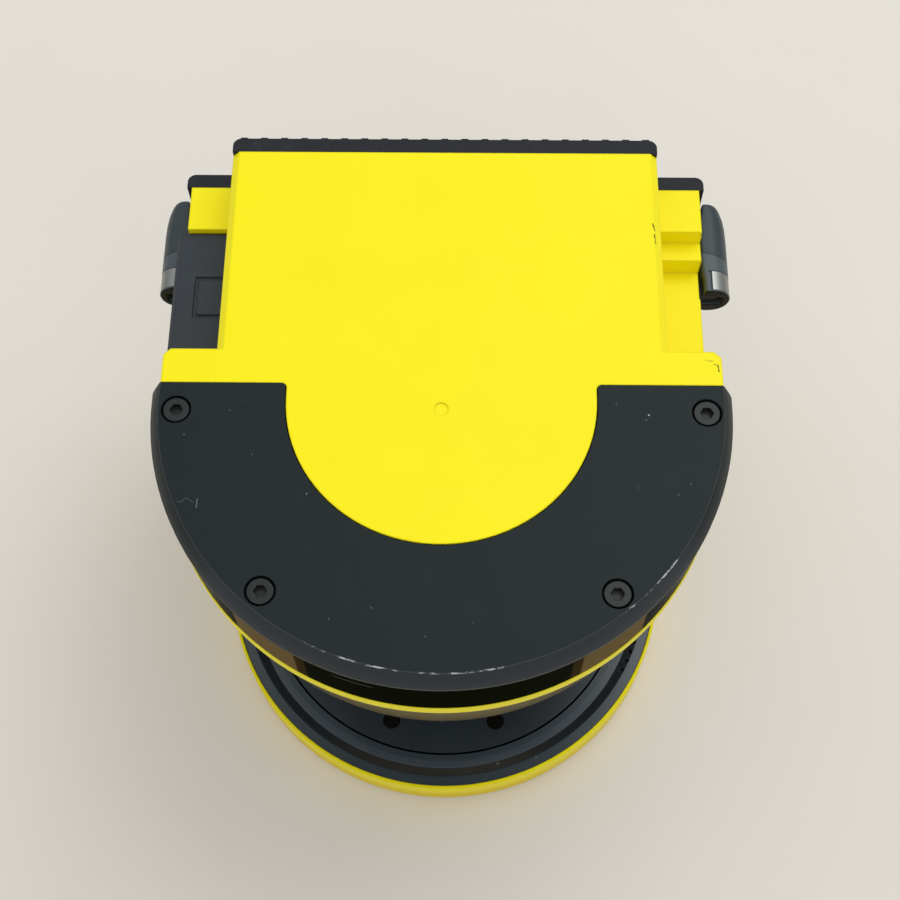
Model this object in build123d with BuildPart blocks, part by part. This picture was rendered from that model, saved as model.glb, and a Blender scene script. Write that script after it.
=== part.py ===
"""Safety laser scanner head: a round cap, a conical scan window, a moulded head with
two side levers, a finned rear casting, and the spinning mirror with its optics inside.
All sizes are in millimetres. The origin is on the axis of the mirror, where the cap
meets the surface it stands on. The front looks along -Y and +Z is up."""
from build123d import *
import math
import os

os.makedirs("parts", exist_ok=True)

# Conical scan window, which the round parts are sized from
window_foot_radius = 39.8
window_slope = 0.27
window_bend = 66.6
window_upper_slope = 0.14
window_wall = 2.2
window_arc = 270.0
window_groove = 1.0
neck_height = 54.5
seal_thickness = 0.5
socket_depth = 2.5

# Round cap that the scanner stands on
cap_height = 11.4
cap_floor = 2.6
cap_wall = 2.5
cap_lip = 0.8
cap_edge = 0.8
cap_boss_radius = 5.0

# Dark ring inside the cap
ring_drop = 0.5
ring_rim = 2.5
ring_flange = 2.0
ring_land = 2.6
ring_slope = 2.4
ring_inner_land = 3.8
ring_step = 1.0
ring_shoulder = 2.5
vent_radius = 0.65
vent_inset = 0.7
vent_pitch = 2.9
vent_angle = 66.1

# Disc inside the ring, with the sensors that look for dirt on the window
disc_radius = window_foot_radius + 10.1
disc_thickness = 2.0
disc_bore = window_foot_radius - 3.8
port_radius = 2.4
port_circle = window_foot_radius + 3.2
port_spacing = 38.0
port_depth = 0.3
board_thickness = 1.6
ring_board_inner = disc_bore + 2.4
ring_board_arc = 220.0
cap_radius = disc_radius + ring_inner_land + ring_slope + ring_land + cap_lip

# Rear column between the cap and the head
column_inner = disc_bore + 0.5
column_foot = column_inner + 7.5
column_gap = 0.3
duct_width = 12.0
duct_depth = 3.0
duct_wall = 2.0
column_screw_spread = 27.0

# Head housing
skirt_height = 35.6
skirt_gap = 0.45
lip_overhang = 1.15
lip_height = 3.5
housing_wall = 2.8
bottom_plate = 4.5
bottom_opening = window_foot_radius + 0.2
shoulder_depth = 8.15
block_edge = 1.6
corner_radius = 1.5
side_top = 108.8
nose_radius = 33.2
nose_root = 1.2
gate_mark_radius = 1.5
gate_mark_depth = 0.25
gate_mark_y = -2.5

# Side recesses with their steps
recess_width = 12.1
recess_depth = 10.1
recess_floor_length = 35.0
recess_step_length = 5.0
recess_step_drop = 4.7
lug_length = 11.8
lug_inset = 1.6
lug_edge_drop = 2.0

# Glossy band in front of the two cameras
band_setback = 0.15
band_height = 15.0
band_wall = 2.2
camera_angle = 30.5

# Cover plate on top of the band
plate_thickness = 5.4
plate_overhang = 0.65
plate_wall = 1.8
plate_bevel = 2.2
plate_edge = 0.3
plate_rear = 3.55
plate_corner = 3.0
plate_screw_inset = 5.4
plate_screw_angles = (39.6, 87.0)
gasket_thickness = 0.6
gasket_width = 7.0

# Rear casting with cooling fins
sink_plate = 3.7
sink_corner = 2.0
sink_boss = 7.0
sink_boss_length = 9.0
fin_count = 21
fin_margin = 2.5
fin_width = 1.6
fin_depth = 2.2
fin_proud = 0.4
fin_drop = 0.2
fin_foot = 5.0
fin_top_margin = 4.2
mount_inset = 7.7
mount_spacing_z = 16.0
mount_height = 81.0
mount_hole_radius = 1.65
mount_boss_radius = 4.0
mount_boss_length = 8.0

# Cap screws, size M3
screw_radius = 1.5
screw_head_radius = 2.75
screw_head_height = 3.0
low_head_height = 2.0
screw_socket = 2.5
screw_socket_depth = 1.5
screw_clearance = 0.05
counterbore_play = 0.5
plate_screw_thread = 7.5

# Side levers
lever_height = 9.4
lever_round = 4.7
lever_depth = 6.6
lever_length = 23.4
lever_setback = 22.6
lever_top = 100.0
lever_gap = 0.8
lever_pin_setback = 2.8
lever_pin_radius = 1.0
lever_lug_half = 2.1
lever_lug_thickness = 3.0
lever_play = 0.3
lever_groove = 0.5
clip_width = 5.3
clip_thickness = 0.45
lever_tip_taper = 2.6
relief_depth = 1.2
relief_radius = 60.0
relief_setback = 7.5

# Cover in the left recess and the connector under it
cover_top = 107.3
cover_wall = 1.5
cover_overhang = 2.2
cover_play = 0.3
cover_bevel = 1.0
grip_length = 11.0
grip_width = 7.0
grip_depth = 0.5
connector_length = 18.0
connector_width = 6.6
connector_height = 5.6
connector_setback = 20.3
pin_pitch = 2.54
pin_count = 6
pin_side = 0.6

# Motor, bearings and spindle
shaft_radius = 2.0
shaft_play = 0.03
bearing_radius = 5.0
bearing_width = 3.0
bearing_spacing = 2.4
tube_wall = 2.2
motor_plate_radius = 26.0
motor_plate = 2.4
motor_screw_circle = 22.6
stator_radius = 15.2
stator_height = 4.0
tooth_count = 9
tooth_width = 2.2
coil_build = 1.1
magnet_thickness = 1.8
air_gap = 0.6
bell_wall = 1.0
running_gap = 0.4

# Encoder and mirror
encoder_radius = disc_bore - 5.5
encoder_thickness = 0.8
encoder_slots = 36
encoder_slot_length = 3.0
encoder_slot_width = 1.6
fork_width = 9.0
fork_jaw = 3.0
fork_gap = 1.2
mirror_radius = 21.0
mirror_thickness = 3.0
mirror_base = 4.2
mirror_rib = 3.5

# Optics in the head
lens_radius = 30.0
lens_edge = 3.0
lens_curve = 78.0
lens_bore = 5.2
lens_play = 0.1
lens_lip = 1.2
lens_clearance = 1.6
carrier_wall = 2.4
carrier_tube = 11.8
carrier_flange_radius = bottom_opening + 5.4
carrier_flange = 2.5
carrier_screw_circle = bottom_opening + 2.7
funnel_height = 28.0
funnel_top_radius = 14.0
detector_radius = 4.5
detector_height = 3.5
detector_board_width = 34.0
detector_board_depth = 30.0
laser_radius = 5.0
laser_length = 18.0
collimator_radius = 3.4
collimator_thickness = 2.0
collimator_curve = 10.0

# Camera modules
camera_lens_radius = 3.2
camera_lens_length = 4.2
camera_body = 7.8
camera_body_width = 10.0
camera_body_depth = 6.0
camera_board = 12.0
camera_board_thickness = 1.2
camera_set_back = 0.5
shelf_thickness = 1.8

# Circuit boards in the rear block
main_board_margin = 6.1
main_board_play = 3.6
board_standoff = 5.0
board_corner_inset = 5.0
board_spacing = 11.3
standoff_radius = 3.0
processor_side = 20.0
processor_height = 2.2
pad_thickness = 1.3
capacitor_radius = 4.0
capacitor_height = 8.0
capacitor_spacing = 14.0
part_offset = 24.0
coil_side = 12.0
coil_height = 5.0
plug_width = 18.0
plug_depth = 5.0
plug_height = 6.0

# Levels that follow from the sizes above
ring_top = cap_height - ring_drop
disc_top = ring_top - ring_step
disc_bottom = disc_top - disc_thickness
window_foot = disc_top - window_groove + seal_thickness
bend_level = window_foot + window_bend
housing_bottom = window_foot + neck_height
window_socket = housing_bottom + socket_depth
lip_bottom = housing_bottom + skirt_height
window_head = lip_bottom - seal_thickness
lip_top = lip_bottom + lip_height
plate_bottom = lip_top + band_height
top_level = plate_bottom + plate_thickness
core_top = plate_bottom - gasket_thickness
cavity_floor = housing_bottom + bottom_plate
main_board_height = top_level - housing_wall - cavity_floor - 2 * main_board_play
recess_floor = side_top - recess_depth
recess_step = recess_floor + recess_depth - recess_step_drop
motor_floor = cap_floor
cap_screw_circle = disc_radius + ring_slope + 1.0


def radial_plane(degrees):
    """Upright plane through the axis: x runs outwards at this angle, y runs up."""
    outwards = Vector(1, 0, 0).rotate(Axis.Z, degrees)
    return Plane(origin=(0, 0, 0), x_dir=outwards, z_dir=outwards.cross(Vector(0, 0, 1)))


def from_front(degrees):
    """Angle about +Z of a direction this many degrees to the right of the front."""
    return degrees - 90.0


def ring_place(radius, degrees, height):
    """Point at this radius and angle from the front."""
    angle = math.radians(from_front(degrees))
    return (radius * math.cos(angle), radius * math.sin(angle), height)


def tangent_plane(radius, degrees, height):
    """Plane square to the radius: x runs level, y runs up and z runs outwards."""
    place = ring_place(radius, degrees, height)
    outwards = Vector(place[0], place[1], 0)
    return Plane(origin=place, x_dir=Vector(0, 0, 1).cross(outwards), z_dir=outwards)


def window_radius(height):
    """Outer radius of the scan window at this height: a cone that is steeper above its bend."""
    lower = min(height, bend_level) - window_foot
    upper = max(height - bend_level, 0.0)
    return window_foot_radius + window_slope * lower + window_upper_slope * upper


def save(piece, name):
    """Give the piece its name and write its file."""
    piece.part.label = name
    export_step(piece.part, "parts/" + name + ".step")


def cap_screws(planes, length, head=screw_head_height, socket=True):
    """Cap screws, each with its head seated on its own plane; hidden ones have no socket."""
    with BuildPart() as screws:
        for plane in planes:
            with BuildSketch(plane):
                Circle(screw_head_radius)
            extrude(amount=head)
            if socket:
                with BuildSketch(plane.offset(head)):
                    RegularPolygon(screw_socket / 2, 6, major_radius=False)
                extrude(amount=-screw_socket_depth, mode=Mode.SUBTRACT)
            with BuildSketch(plane):
                Circle(screw_radius)
            extrude(amount=-length)
    return screws


# Radii and places of the head that follow from the window
head_radius = window_radius(window_head) + lip_overhang
band_radius = head_radius - band_setback
plate_radius = band_radius + plate_overhang
plate_screw_circle = band_radius - plate_screw_inset
core_radius = band_radius - band_wall - 0.1
skirt_foot_radius = window_radius(housing_bottom) - window_wall - skirt_gap
skirt_head_radius = window_radius(window_head) - window_wall - skirt_gap
column_head = window_radius(housing_bottom) + 0.4
shoulder_half = band_radius - 1.6
side_half = band_radius - 0.8
block_half = side_half - recess_width
shoulder_rear = plate_rear + shoulder_depth
block_rear = shoulder_rear + recess_floor_length + recess_step_length + lug_length
sink_rear = block_rear + sink_plate
fin_pitch = (2 * block_half - 2 * fin_margin) / (fin_count - 1)
mount_spacing_x = 2 * (side_half - mount_inset)
lever_front = block_rear - lever_setback
relief_centre = block_rear - relief_setback
connector_y = shoulder_rear + connector_setback
main_board_width = 2 * (block_half - main_board_margin)

# Round cap, moulded, with a thin rim and four bosses for the screws from below
cap_screw_angles = (45.0, 135.0, 225.0, 315.0)
ring_bottom = ring_top - ring_rim - ring_flange
cap_screw_seat = screw_head_height + 0.2
with BuildPart() as base_cap:
    with BuildSketch(Plane.XZ):
        with BuildLine():
            Polyline(
                (0, 0),
                (cap_radius - cap_edge, 0),
                (cap_radius, cap_edge),
                (cap_radius, cap_height),
                (cap_radius - cap_lip, cap_height),
                (cap_radius - cap_lip, ring_top - ring_rim),
                (cap_radius - cap_wall, ring_top - ring_rim),
                (cap_radius - cap_wall, cap_floor),
                (0, cap_floor),
                close=True,
            )
        make_face()
    revolve(axis=Axis.Z)
    for angle in cap_screw_angles:
        with BuildSketch(Plane.XY.offset(cap_floor)):
            with Locations(ring_place(cap_screw_circle, angle, 0)[:2]):
                Circle(cap_boss_radius)
        extrude(amount=ring_bottom - cap_floor)
    cap_holes = [ring_place(cap_screw_circle, angle, 0) for angle in cap_screw_angles]
    with BuildSketch(Plane.XY):
        with Locations([place[:2] for place in cap_holes]):
            Circle(screw_head_radius + 0.4)
    extrude(amount=cap_screw_seat, mode=Mode.SUBTRACT)
    with BuildSketch(Plane.XY):
        with Locations([place[:2] for place in cap_holes]):
            Circle(screw_radius + screw_clearance)
    extrude(amount=ring_bottom, mode=Mode.SUBTRACT)
    motor_holes = [ring_place(motor_screw_circle, angle, 0) for angle in (0.0, 120.0, 240.0)]
    with BuildSketch(Plane.XY.offset(cap_floor)):
        with Locations([place[:2] for place in motor_holes]):
            Circle(screw_radius + screw_clearance)
    extrude(amount=-cap_floor + 0.6, mode=Mode.SUBTRACT)
save(base_cap, "base_cap")

# Dark ring in the cap: outer land, slope, inner land, and a shoulder under the disc
ring_play = 0.1
land_inner = cap_radius - cap_lip - ring_land
slope_inner = land_inner - ring_slope
shoulder_inner = disc_radius - ring_shoulder
with BuildPart() as cap_ring:
    with BuildSketch(Plane.XZ):
        with BuildLine():
            Polyline(
                (cap_radius - cap_lip - ring_play, ring_top - ring_rim),
                (cap_radius - cap_lip - ring_play, ring_top),
                (land_inner, ring_top),
                (slope_inner, disc_top),
                (disc_radius + ring_play, disc_top),
                (disc_radius + ring_play, disc_bottom),
                (shoulder_inner, disc_bottom),
                (shoulder_inner, ring_bottom),
                (cap_radius - cap_wall - ring_play, ring_bottom),
                (cap_radius - cap_wall - ring_play, ring_top - ring_rim),
                close=True,
            )
        make_face()
    revolve(axis=Axis.Z)
    vent_circle = land_inner - vent_inset
    vent_step = math.degrees(vent_pitch / vent_circle)
    vent_places = [
        ring_place(vent_circle, vent_angle + (index - 1.5) * vent_step, 0) for index in range(4)
    ]
    with BuildSketch(Plane.XY.offset(ring_top)):
        with Locations([place[:2] for place in vent_places]):
            Circle(vent_radius)
    extrude(amount=-ring_rim, mode=Mode.SUBTRACT)
    with BuildSketch(Plane.XY.offset(ring_bottom)):
        with Locations([place[:2] for place in cap_holes]):
            Circle(screw_radius + screw_clearance)
    extrude(amount=disc_bottom - ring_bottom + 0.5, mode=Mode.SUBTRACT)
save(cap_ring, "cap_ring")

cap_fixings = cap_screws(
    [
        Plane(origin=(place[0], place[1], cap_screw_seat), x_dir=(1, 0, 0), z_dir=(0, 0, -1))
        for place in cap_holes
    ],
    disc_bottom - cap_screw_seat + 0.3,
)
save(cap_fixings, "cap_screws")

# Disc with the ports of the window sensors, a groove for the window and a slot for wires
port_angles = [(index - 2.5) * port_spacing for index in range(6)]
port_places = [ring_place(port_circle, angle, 0) for angle in port_angles]
duct_inner = column_inner + duct_wall
column_screw_angles = (180.0 - column_screw_spread, 180.0 + column_screw_spread)
column_foot_circle = (disc_bore + column_foot) / 2 + 0.6
groove_play = 0.2
with BuildPart() as sensor_disc:
    with BuildSketch(Plane.XY.offset(disc_bottom)):
        Circle(disc_radius)
        Circle(disc_bore, mode=Mode.SUBTRACT)
        with Locations([place[:2] for place in port_places]):
            Circle(port_radius, mode=Mode.SUBTRACT)
        with Locations((0, duct_inner + duct_depth / 2)):
            Rectangle(duct_width, duct_depth, mode=Mode.SUBTRACT)
        with Locations([ring_place(column_foot_circle, a, 0)[:2] for a in column_screw_angles]):
            Circle(screw_radius + screw_clearance, mode=Mode.SUBTRACT)
    extrude(amount=disc_thickness)
    with BuildSketch(radial_plane(from_front(-window_arc / 2))):
        with BuildLine():
            Polyline(
                (window_foot_radius - window_wall - groove_play, disc_top - window_groove),
                (window_foot_radius + groove_play, disc_top - window_groove),
                (window_foot_radius + groove_play + 0.1, disc_top + 1.0),
                (window_foot_radius - window_wall - groove_play, disc_top + 1.0),
                close=True,
            )
        make_face()
    revolve(axis=Axis.Z, revolution_arc=window_arc, mode=Mode.SUBTRACT)
save(sensor_disc, "sensor_disc")

# Dark lenses of the window sensors, standing on their board in the ports
port_play = 0.1
with BuildPart() as soiling_sensors:
    with BuildSketch(Plane.XY.offset(disc_bottom)):
        with Locations([place[:2] for place in port_places]):
            Circle(port_radius - port_play)
    extrude(amount=disc_thickness - port_depth)
save(soiling_sensors, "soiling_sensors")

# Circuit board under the disc, open at the rear where the column stands
with BuildPart() as sensor_ring_board:
    with BuildSketch(radial_plane(from_front(-ring_board_arc / 2))):
        with Locations(((ring_board_inner + shoulder_inner) / 2, disc_bottom - board_thickness / 2)):
            Rectangle(shoulder_inner - ring_board_inner - 0.2, board_thickness)
    revolve(axis=Axis.Z, revolution_arc=ring_board_arc)
save(sensor_ring_board, "sensor_ring_board")


def block_sketch(half, front, rear):
    """Rectangle that is centred across the head and runs from front to rear."""
    with Locations((0, (front + rear) / 2)):
        Rectangle(2 * half, rear - front)


def window_ring(levels, inset, arc):
    """Section of a ring that follows both faces of the window through these levels."""
    outer = [(window_radius(level) - inset, level) for level in levels]
    inner = [(window_radius(level) - window_wall + inset, level) for level in reversed(levels)]
    with BuildPart() as ring:
        with BuildSketch(radial_plane(from_front(-arc / 2))):
            with BuildLine():
                Polyline(*outer, *inner, close=True)
            make_face()
        revolve(axis=Axis.Z, revolution_arc=arc)
    return ring


# Conical window of dark plastic: its front half reaches up to the lip of the head, and its
# ends are glued in a groove of the rear block. Rubber seals lie at its foot and its head.
window_joint = 0.3
with BuildPart() as front_window:
    add(window_ring((window_foot, bend_level, window_head), 0, window_arc - 1.0).part)
    with BuildSketch(Plane.XY.offset(window_socket)):
        block_sketch(head_radius, plate_rear - window_joint, block_rear)
    extrude(amount=lip_top - window_socket, mode=Mode.SUBTRACT)
save(front_window, "front_window")
seal_inset = 0.2
lower_seal = window_ring((window_foot - seal_thickness, window_foot), seal_inset, window_arc - 1.0)
save(lower_seal, "window_seal_lower")
upper_seal = window_ring((window_head, lip_bottom), seal_inset, 180.0)
save(upper_seal, "window_seal_upper")

# Rear column that carries the head on the cap, with a duct for the wires of the motor
column_arc = 360.0 - window_arc
column_trim = math.degrees(column_gap / window_foot_radius)
column_head_circle = (column_inner + column_head) / 2 + 2.75
with BuildPart() as neck_column:
    with BuildSketch(radial_plane(from_front(180.0 - column_arc / 2 + column_trim))):
        with BuildLine():
            Polyline(
                (column_inner, disc_top),
                (column_foot, disc_top),
                (column_head, housing_bottom),
                (column_inner, housing_bottom),
                close=True,
            )
        make_face()
    revolve(axis=Axis.Z, revolution_arc=column_arc - 2 * column_trim)
    with BuildSketch(Plane.XY.offset(disc_top)):
        with Locations((0, duct_inner + duct_depth / 2)):
            Rectangle(duct_width, duct_depth)
    extrude(amount=housing_bottom - disc_top, mode=Mode.SUBTRACT)
    with BuildSketch(Plane.XY.offset(disc_top)):
        with Locations([ring_place(column_foot_circle, a, 0)[:2] for a in column_screw_angles]):
            Circle(screw_radius + screw_clearance)
    extrude(amount=7.0, mode=Mode.SUBTRACT)
    with BuildSketch(Plane.XY.offset(housing_bottom)):
        with Locations([ring_place(column_head_circle, a, 0)[:2] for a in column_screw_angles]):
            Circle(screw_radius + screw_clearance)
    extrude(amount=-9.0, mode=Mode.SUBTRACT)
save(neck_column, "neck_column")

column_fixings = cap_screws(
    [
        Plane(
            origin=ring_place(column_foot_circle, a, disc_bottom),
            x_dir=(1, 0, 0),
            z_dir=(0, 0, -1),
        )
        for a in column_screw_angles
    ]
    + [Plane(origin=ring_place(column_head_circle, a, cavity_floor)) for a in column_screw_angles],
    8.0,
    socket=False,
)
save(column_fixings, "column_screws")

# Head housing: turned front with its lip, square rear block, shoulders and side blocks
plate_screw_places = [
    ring_place(plate_screw_circle, side * angle, 0)
    for angle in plate_screw_angles
    for side in (-1, 1)
]
plate_play = 0.25
camera_height = (lip_top + plate_bottom) / 2
camera_floor = camera_height - camera_body / 2
pocket_front = lever_front - 1.6
pocket_length = 7.4
lever_axis_y = lever_front + lever_pin_setback
lever_middle = lever_top - lever_height / 2
lever_inner = side_half + lever_gap + 0.3
lever_outer = lever_inner + lever_depth
lever_axis_x = lever_outer - lever_round + 0.6
connector_x = -(block_half + side_half) / 2 - 0.2
sink_screw_x = side_half - 4.6
sink_screw_heights = (mount_height, side_top - 4.8)
rear_face = Plane(origin=(0, block_rear, 0), x_dir=(1, 0, 0), z_dir=(0, -1, 0))
with BuildPart() as head_housing:
    with BuildSketch(Plane.XZ):
        with BuildLine():
            Polyline(
                (0, housing_bottom),
                (skirt_foot_radius, housing_bottom),
                (skirt_head_radius, lip_bottom),
                (head_radius, lip_bottom),
                (head_radius, lip_top),
                (core_radius, lip_top),
                (core_radius, core_top),
                (0, core_top),
                close=True,
            )
        make_face()
    revolve(axis=Axis.Z)
    split(bisect_by=Plane(origin=(0, plate_rear, 0), z_dir=(0, -1, 0)), keep=Keep.TOP)
    with BuildSketch(Plane.XY.offset(core_top)):
        Circle(nose_radius)
        block_sketch(nose_radius, 0, plate_rear)
    extrude(amount=top_level - core_top)
    with BuildSketch(Plane.XY.offset(housing_bottom)):
        block_sketch(side_half, plate_rear, block_rear)
    extrude(amount=side_top - housing_bottom)
    with BuildSketch(Plane.XY.offset(side_top)):
        block_sketch(shoulder_half, plate_rear, shoulder_rear)
    extrude(amount=top_level - side_top)
    with BuildSketch(Plane.XY.offset(side_top)):
        block_sketch(block_half, plate_rear, block_rear)
    extrude(amount=top_level - side_top)
    nose_corners = [
        edge
        for edge in head_housing.edges().filter_by(Axis.Z)
        if abs(edge.center().Y - plate_rear) < 0.01 and abs(abs(edge.center().X) - nose_radius) < 0.01
    ]
    fillet(nose_corners, nose_root)
    side_edges = head_housing.edges().filter_by(Axis.Y).filter_by_position(
        Axis.Z, top_level - 0.01, top_level + 0.01
    )
    long_edges = [edge for edge in side_edges if edge.length > 20]
    chamfer(long_edges, block_edge)
    upright = head_housing.edges().filter_by(Axis.Z).filter_by_position(
        Axis.Y, shoulder_rear - 0.01, shoulder_rear + 0.01
    )
    outer_upright = [edge for edge in upright if abs(edge.center().X) > block_half + 5]
    chamfer(outer_upright, corner_radius)
    # Recesses in both sides: a floor, a step and the lug at the rear
    for side in (-1, 1):
        reach = side_half - block_half + 1.0
        with BuildSketch(Plane.XY.offset(recess_floor)):
            with Locations((side * (block_half + reach / 2), shoulder_rear + recess_floor_length / 2)):
                Rectangle(reach, recess_floor_length)
        extrude(amount=side_top - recess_floor + 1.0, mode=Mode.SUBTRACT)
        step_front = shoulder_rear + recess_floor_length
        with BuildSketch(Plane.XY.offset(recess_step)):
            with Locations((side * (block_half + reach / 2), step_front + recess_step_length / 2)):
                Rectangle(reach, recess_step_length)
        extrude(amount=side_top - recess_step + 1.0, mode=Mode.SUBTRACT)
        with BuildSketch(Plane.XY.offset(side_top - lug_edge_drop)):
            with Locations((side * (side_half + 1.0 - lug_inset / 2), (step_front + block_rear) / 2)):
                Rectangle(lug_inset + 2.0, block_rear - step_front + 4.0)
        extrude(amount=lug_edge_drop + 1.0, mode=Mode.SUBTRACT)
        # Shallow hollow behind the lever and the pocket for its heel
        with BuildSketch(Plane.XY.offset(lever_top - lever_height - 1.0)):
            with Locations((side * (side_half - relief_depth + relief_radius), relief_centre)):
                Circle(relief_radius)
        extrude(amount=side_top - lever_top + lever_height + 2.0, mode=Mode.SUBTRACT)
        with BuildSketch(Plane.XY.offset(lever_top - lever_height - 0.7)):
            with Locations((side * side_half, pocket_front + pocket_length / 2)):
                Rectangle(2.4, pocket_length)
        extrude(amount=lever_height + 1.4, mode=Mode.SUBTRACT)
    # Hollow inside of the front, the rear block and the side blocks
    front_wall = core_radius - housing_wall
    with BuildSketch(radial_plane(from_front(-90.0))):
        with BuildLine():
            Polyline(
                (0, cavity_floor),
                (skirt_foot_radius - housing_wall, cavity_floor),
                (skirt_head_radius - housing_wall, lip_bottom),
                (front_wall, (lip_bottom + lip_top) / 2),
                (front_wall, core_top - housing_wall),
                (nose_radius - housing_wall, core_top - housing_wall),
                (nose_radius - housing_wall, top_level - housing_wall),
                (0, top_level - housing_wall),
                close=True,
            )
        make_face()
    revolve(axis=Axis.Z, revolution_arc=180.0, mode=Mode.SUBTRACT)
    with BuildSketch(Plane.XY.offset(cavity_floor)):
        block_sketch(block_half - housing_wall, 0, block_rear)
    extrude(amount=top_level - housing_wall - cavity_floor, mode=Mode.SUBTRACT)
    with BuildSketch(Plane.XY.offset(cavity_floor)):
        block_sketch(side_half - housing_wall, shoulder_rear, block_rear)
    extrude(amount=recess_floor - housing_wall - cavity_floor, mode=Mode.SUBTRACT)
    # Opening over the mirror and the groove in the rear block for the ends of the window
    with BuildSketch(Plane.XY.offset(housing_bottom)):
        Circle(bottom_opening)
    extrude(amount=bottom_plate, mode=Mode.SUBTRACT)
    groove_low = window_radius(housing_bottom)
    with BuildSketch(radial_plane(from_front(-window_arc / 2))):
        with BuildLine():
            Polyline(
                (groove_low - window_wall - groove_play, housing_bottom),
                (groove_low + 2 * groove_play, housing_bottom),
                (groove_low + 3 * groove_play, housing_bottom + socket_depth),
                (groove_low - window_wall - groove_play, housing_bottom + socket_depth),
                close=True,
            )
        make_face()
    revolve(axis=Axis.Z, revolution_arc=window_arc, mode=Mode.SUBTRACT)
    with BuildSketch(Plane.XY.offset(housing_bottom)):
        with Locations((0, duct_inner + duct_depth / 2)):
            Rectangle(duct_width, duct_depth)
        with Locations([ring_place(column_head_circle, a, 0)[:2] for a in column_screw_angles]):
            Circle(screw_radius + screw_clearance)
    extrude(amount=bottom_plate, mode=Mode.SUBTRACT)
    # Pillars for the screws of the cover plate, and shelves for the cameras
    with BuildSketch(Plane.XY.offset(camera_floor - shelf_thickness)):
        with Locations([place[:2] for place in plate_screw_places]):
            Circle(core_radius - plate_screw_circle - 0.1)
    extrude(amount=core_top - camera_floor + shelf_thickness)
    for side in (-1, 1):
        window_plane = tangent_plane(core_radius + 1.0, side * camera_angle, camera_height)
        with BuildSketch(window_plane):
            Rectangle(2 * camera_lens_radius + 1.5, 2 * camera_lens_radius + 0.6)
        extrude(amount=-housing_wall - 2.0, mode=Mode.SUBTRACT)
        shelf_plane = tangent_plane(
            core_radius - 1.0, side * camera_angle, camera_floor - shelf_thickness / 2
        )
        with BuildSketch(shelf_plane):
            Rectangle(camera_board + 2.0, shelf_thickness)
        extrude(amount=-camera_lens_length - camera_body_depth - camera_board_thickness - 1.0)
    with BuildSketch(Plane.XY.offset(core_top)):
        with Locations([place[:2] for place in plate_screw_places]):
            Circle(screw_radius + screw_clearance)
    extrude(amount=-9.0, mode=Mode.SUBTRACT)
    carrier_holes = [ring_place(carrier_screw_circle, a, 0) for a in (45.0, 135.0, 225.0, 315.0)]
    with BuildSketch(Plane.XY.offset(cavity_floor)):
        with Locations([place[:2] for place in carrier_holes]):
            Circle(screw_radius + screw_clearance)
    extrude(amount=-bottom_plate + 0.4, mode=Mode.SUBTRACT)
    # Bosses at the rear for the screws of the casting
    for side in (-1, 1):
        with BuildSketch(rear_face):
            with Locations((side * (side_half - sink_boss / 2 - 0.2), mount_height)):
                Rectangle(sink_boss, sink_boss)
        extrude(amount=sink_boss_length)
        with BuildSketch(rear_face):
            with Locations([(side * sink_screw_x, height) for height in sink_screw_heights]):
                Circle(screw_radius + screw_clearance)
        extrude(amount=sink_boss_length - 1.0, mode=Mode.SUBTRACT)
        # Hinge lug of the side lever
        with BuildSketch(Plane.XY.offset(lever_middle - lever_lug_thickness / 2)):
            with Locations((side * lever_axis_x, lever_axis_y)):
                Circle(lever_lug_half)
            lug_root = side_half - 1.6
            with Locations((side * (lug_root + lever_axis_x) / 2, lever_axis_y)):
                Rectangle(lever_axis_x - lug_root, 2 * lever_lug_half)
        extrude(amount=lever_lug_thickness)
        with BuildSketch(Plane.XY.offset(lever_middle - lever_lug_thickness / 2)):
            with Locations((side * lever_axis_x, lever_axis_y)):
                Circle(lever_pin_radius)
        extrude(amount=lever_lug_thickness, mode=Mode.SUBTRACT)
    # Opening for the service connector and the shallow mark of the moulding gate
    with BuildSketch(Plane.XY.offset(recess_floor - housing_wall)):
        with Locations((connector_x, connector_y)):
            Rectangle(connector_width + 0.2, connector_length + 0.2)
    extrude(amount=housing_wall, mode=Mode.SUBTRACT)
    with BuildSketch(Plane.XY.offset(top_level)):
        with Locations((0, gate_mark_y)):
            Circle(gate_mark_radius)
    extrude(amount=-gate_mark_depth, mode=Mode.SUBTRACT)
save(head_housing, "head_housing")

# Glossy band of smoked plastic round the front
front_cut = Plane(origin=(0, plate_rear, 0), z_dir=(0, -1, 0))
with BuildPart() as camera_band:
    with BuildSketch(Plane.XY.offset(lip_top)):
        Circle(band_radius)
        Circle(band_radius - band_wall, mode=Mode.SUBTRACT)
    extrude(amount=band_height)
    split(bisect_by=front_cut, keep=Keep.TOP)
save(camera_band, "camera_band")

# Gasket between the housing and the cover plate, cut like the plate
with BuildPart() as plate_gasket:
    with BuildSketch(Plane.XY.offset(core_top)):
        Circle(core_radius)
        Circle(core_radius - gasket_width, mode=Mode.SUBTRACT)
        with Locations([place[:2] for place in plate_screw_places]):
            Circle(screw_radius + 0.3, mode=Mode.SUBTRACT)
    extrude(amount=gasket_thickness)
    split(bisect_by=front_cut, keep=Keep.TOP)
save(plate_gasket, "plate_gasket")

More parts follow.
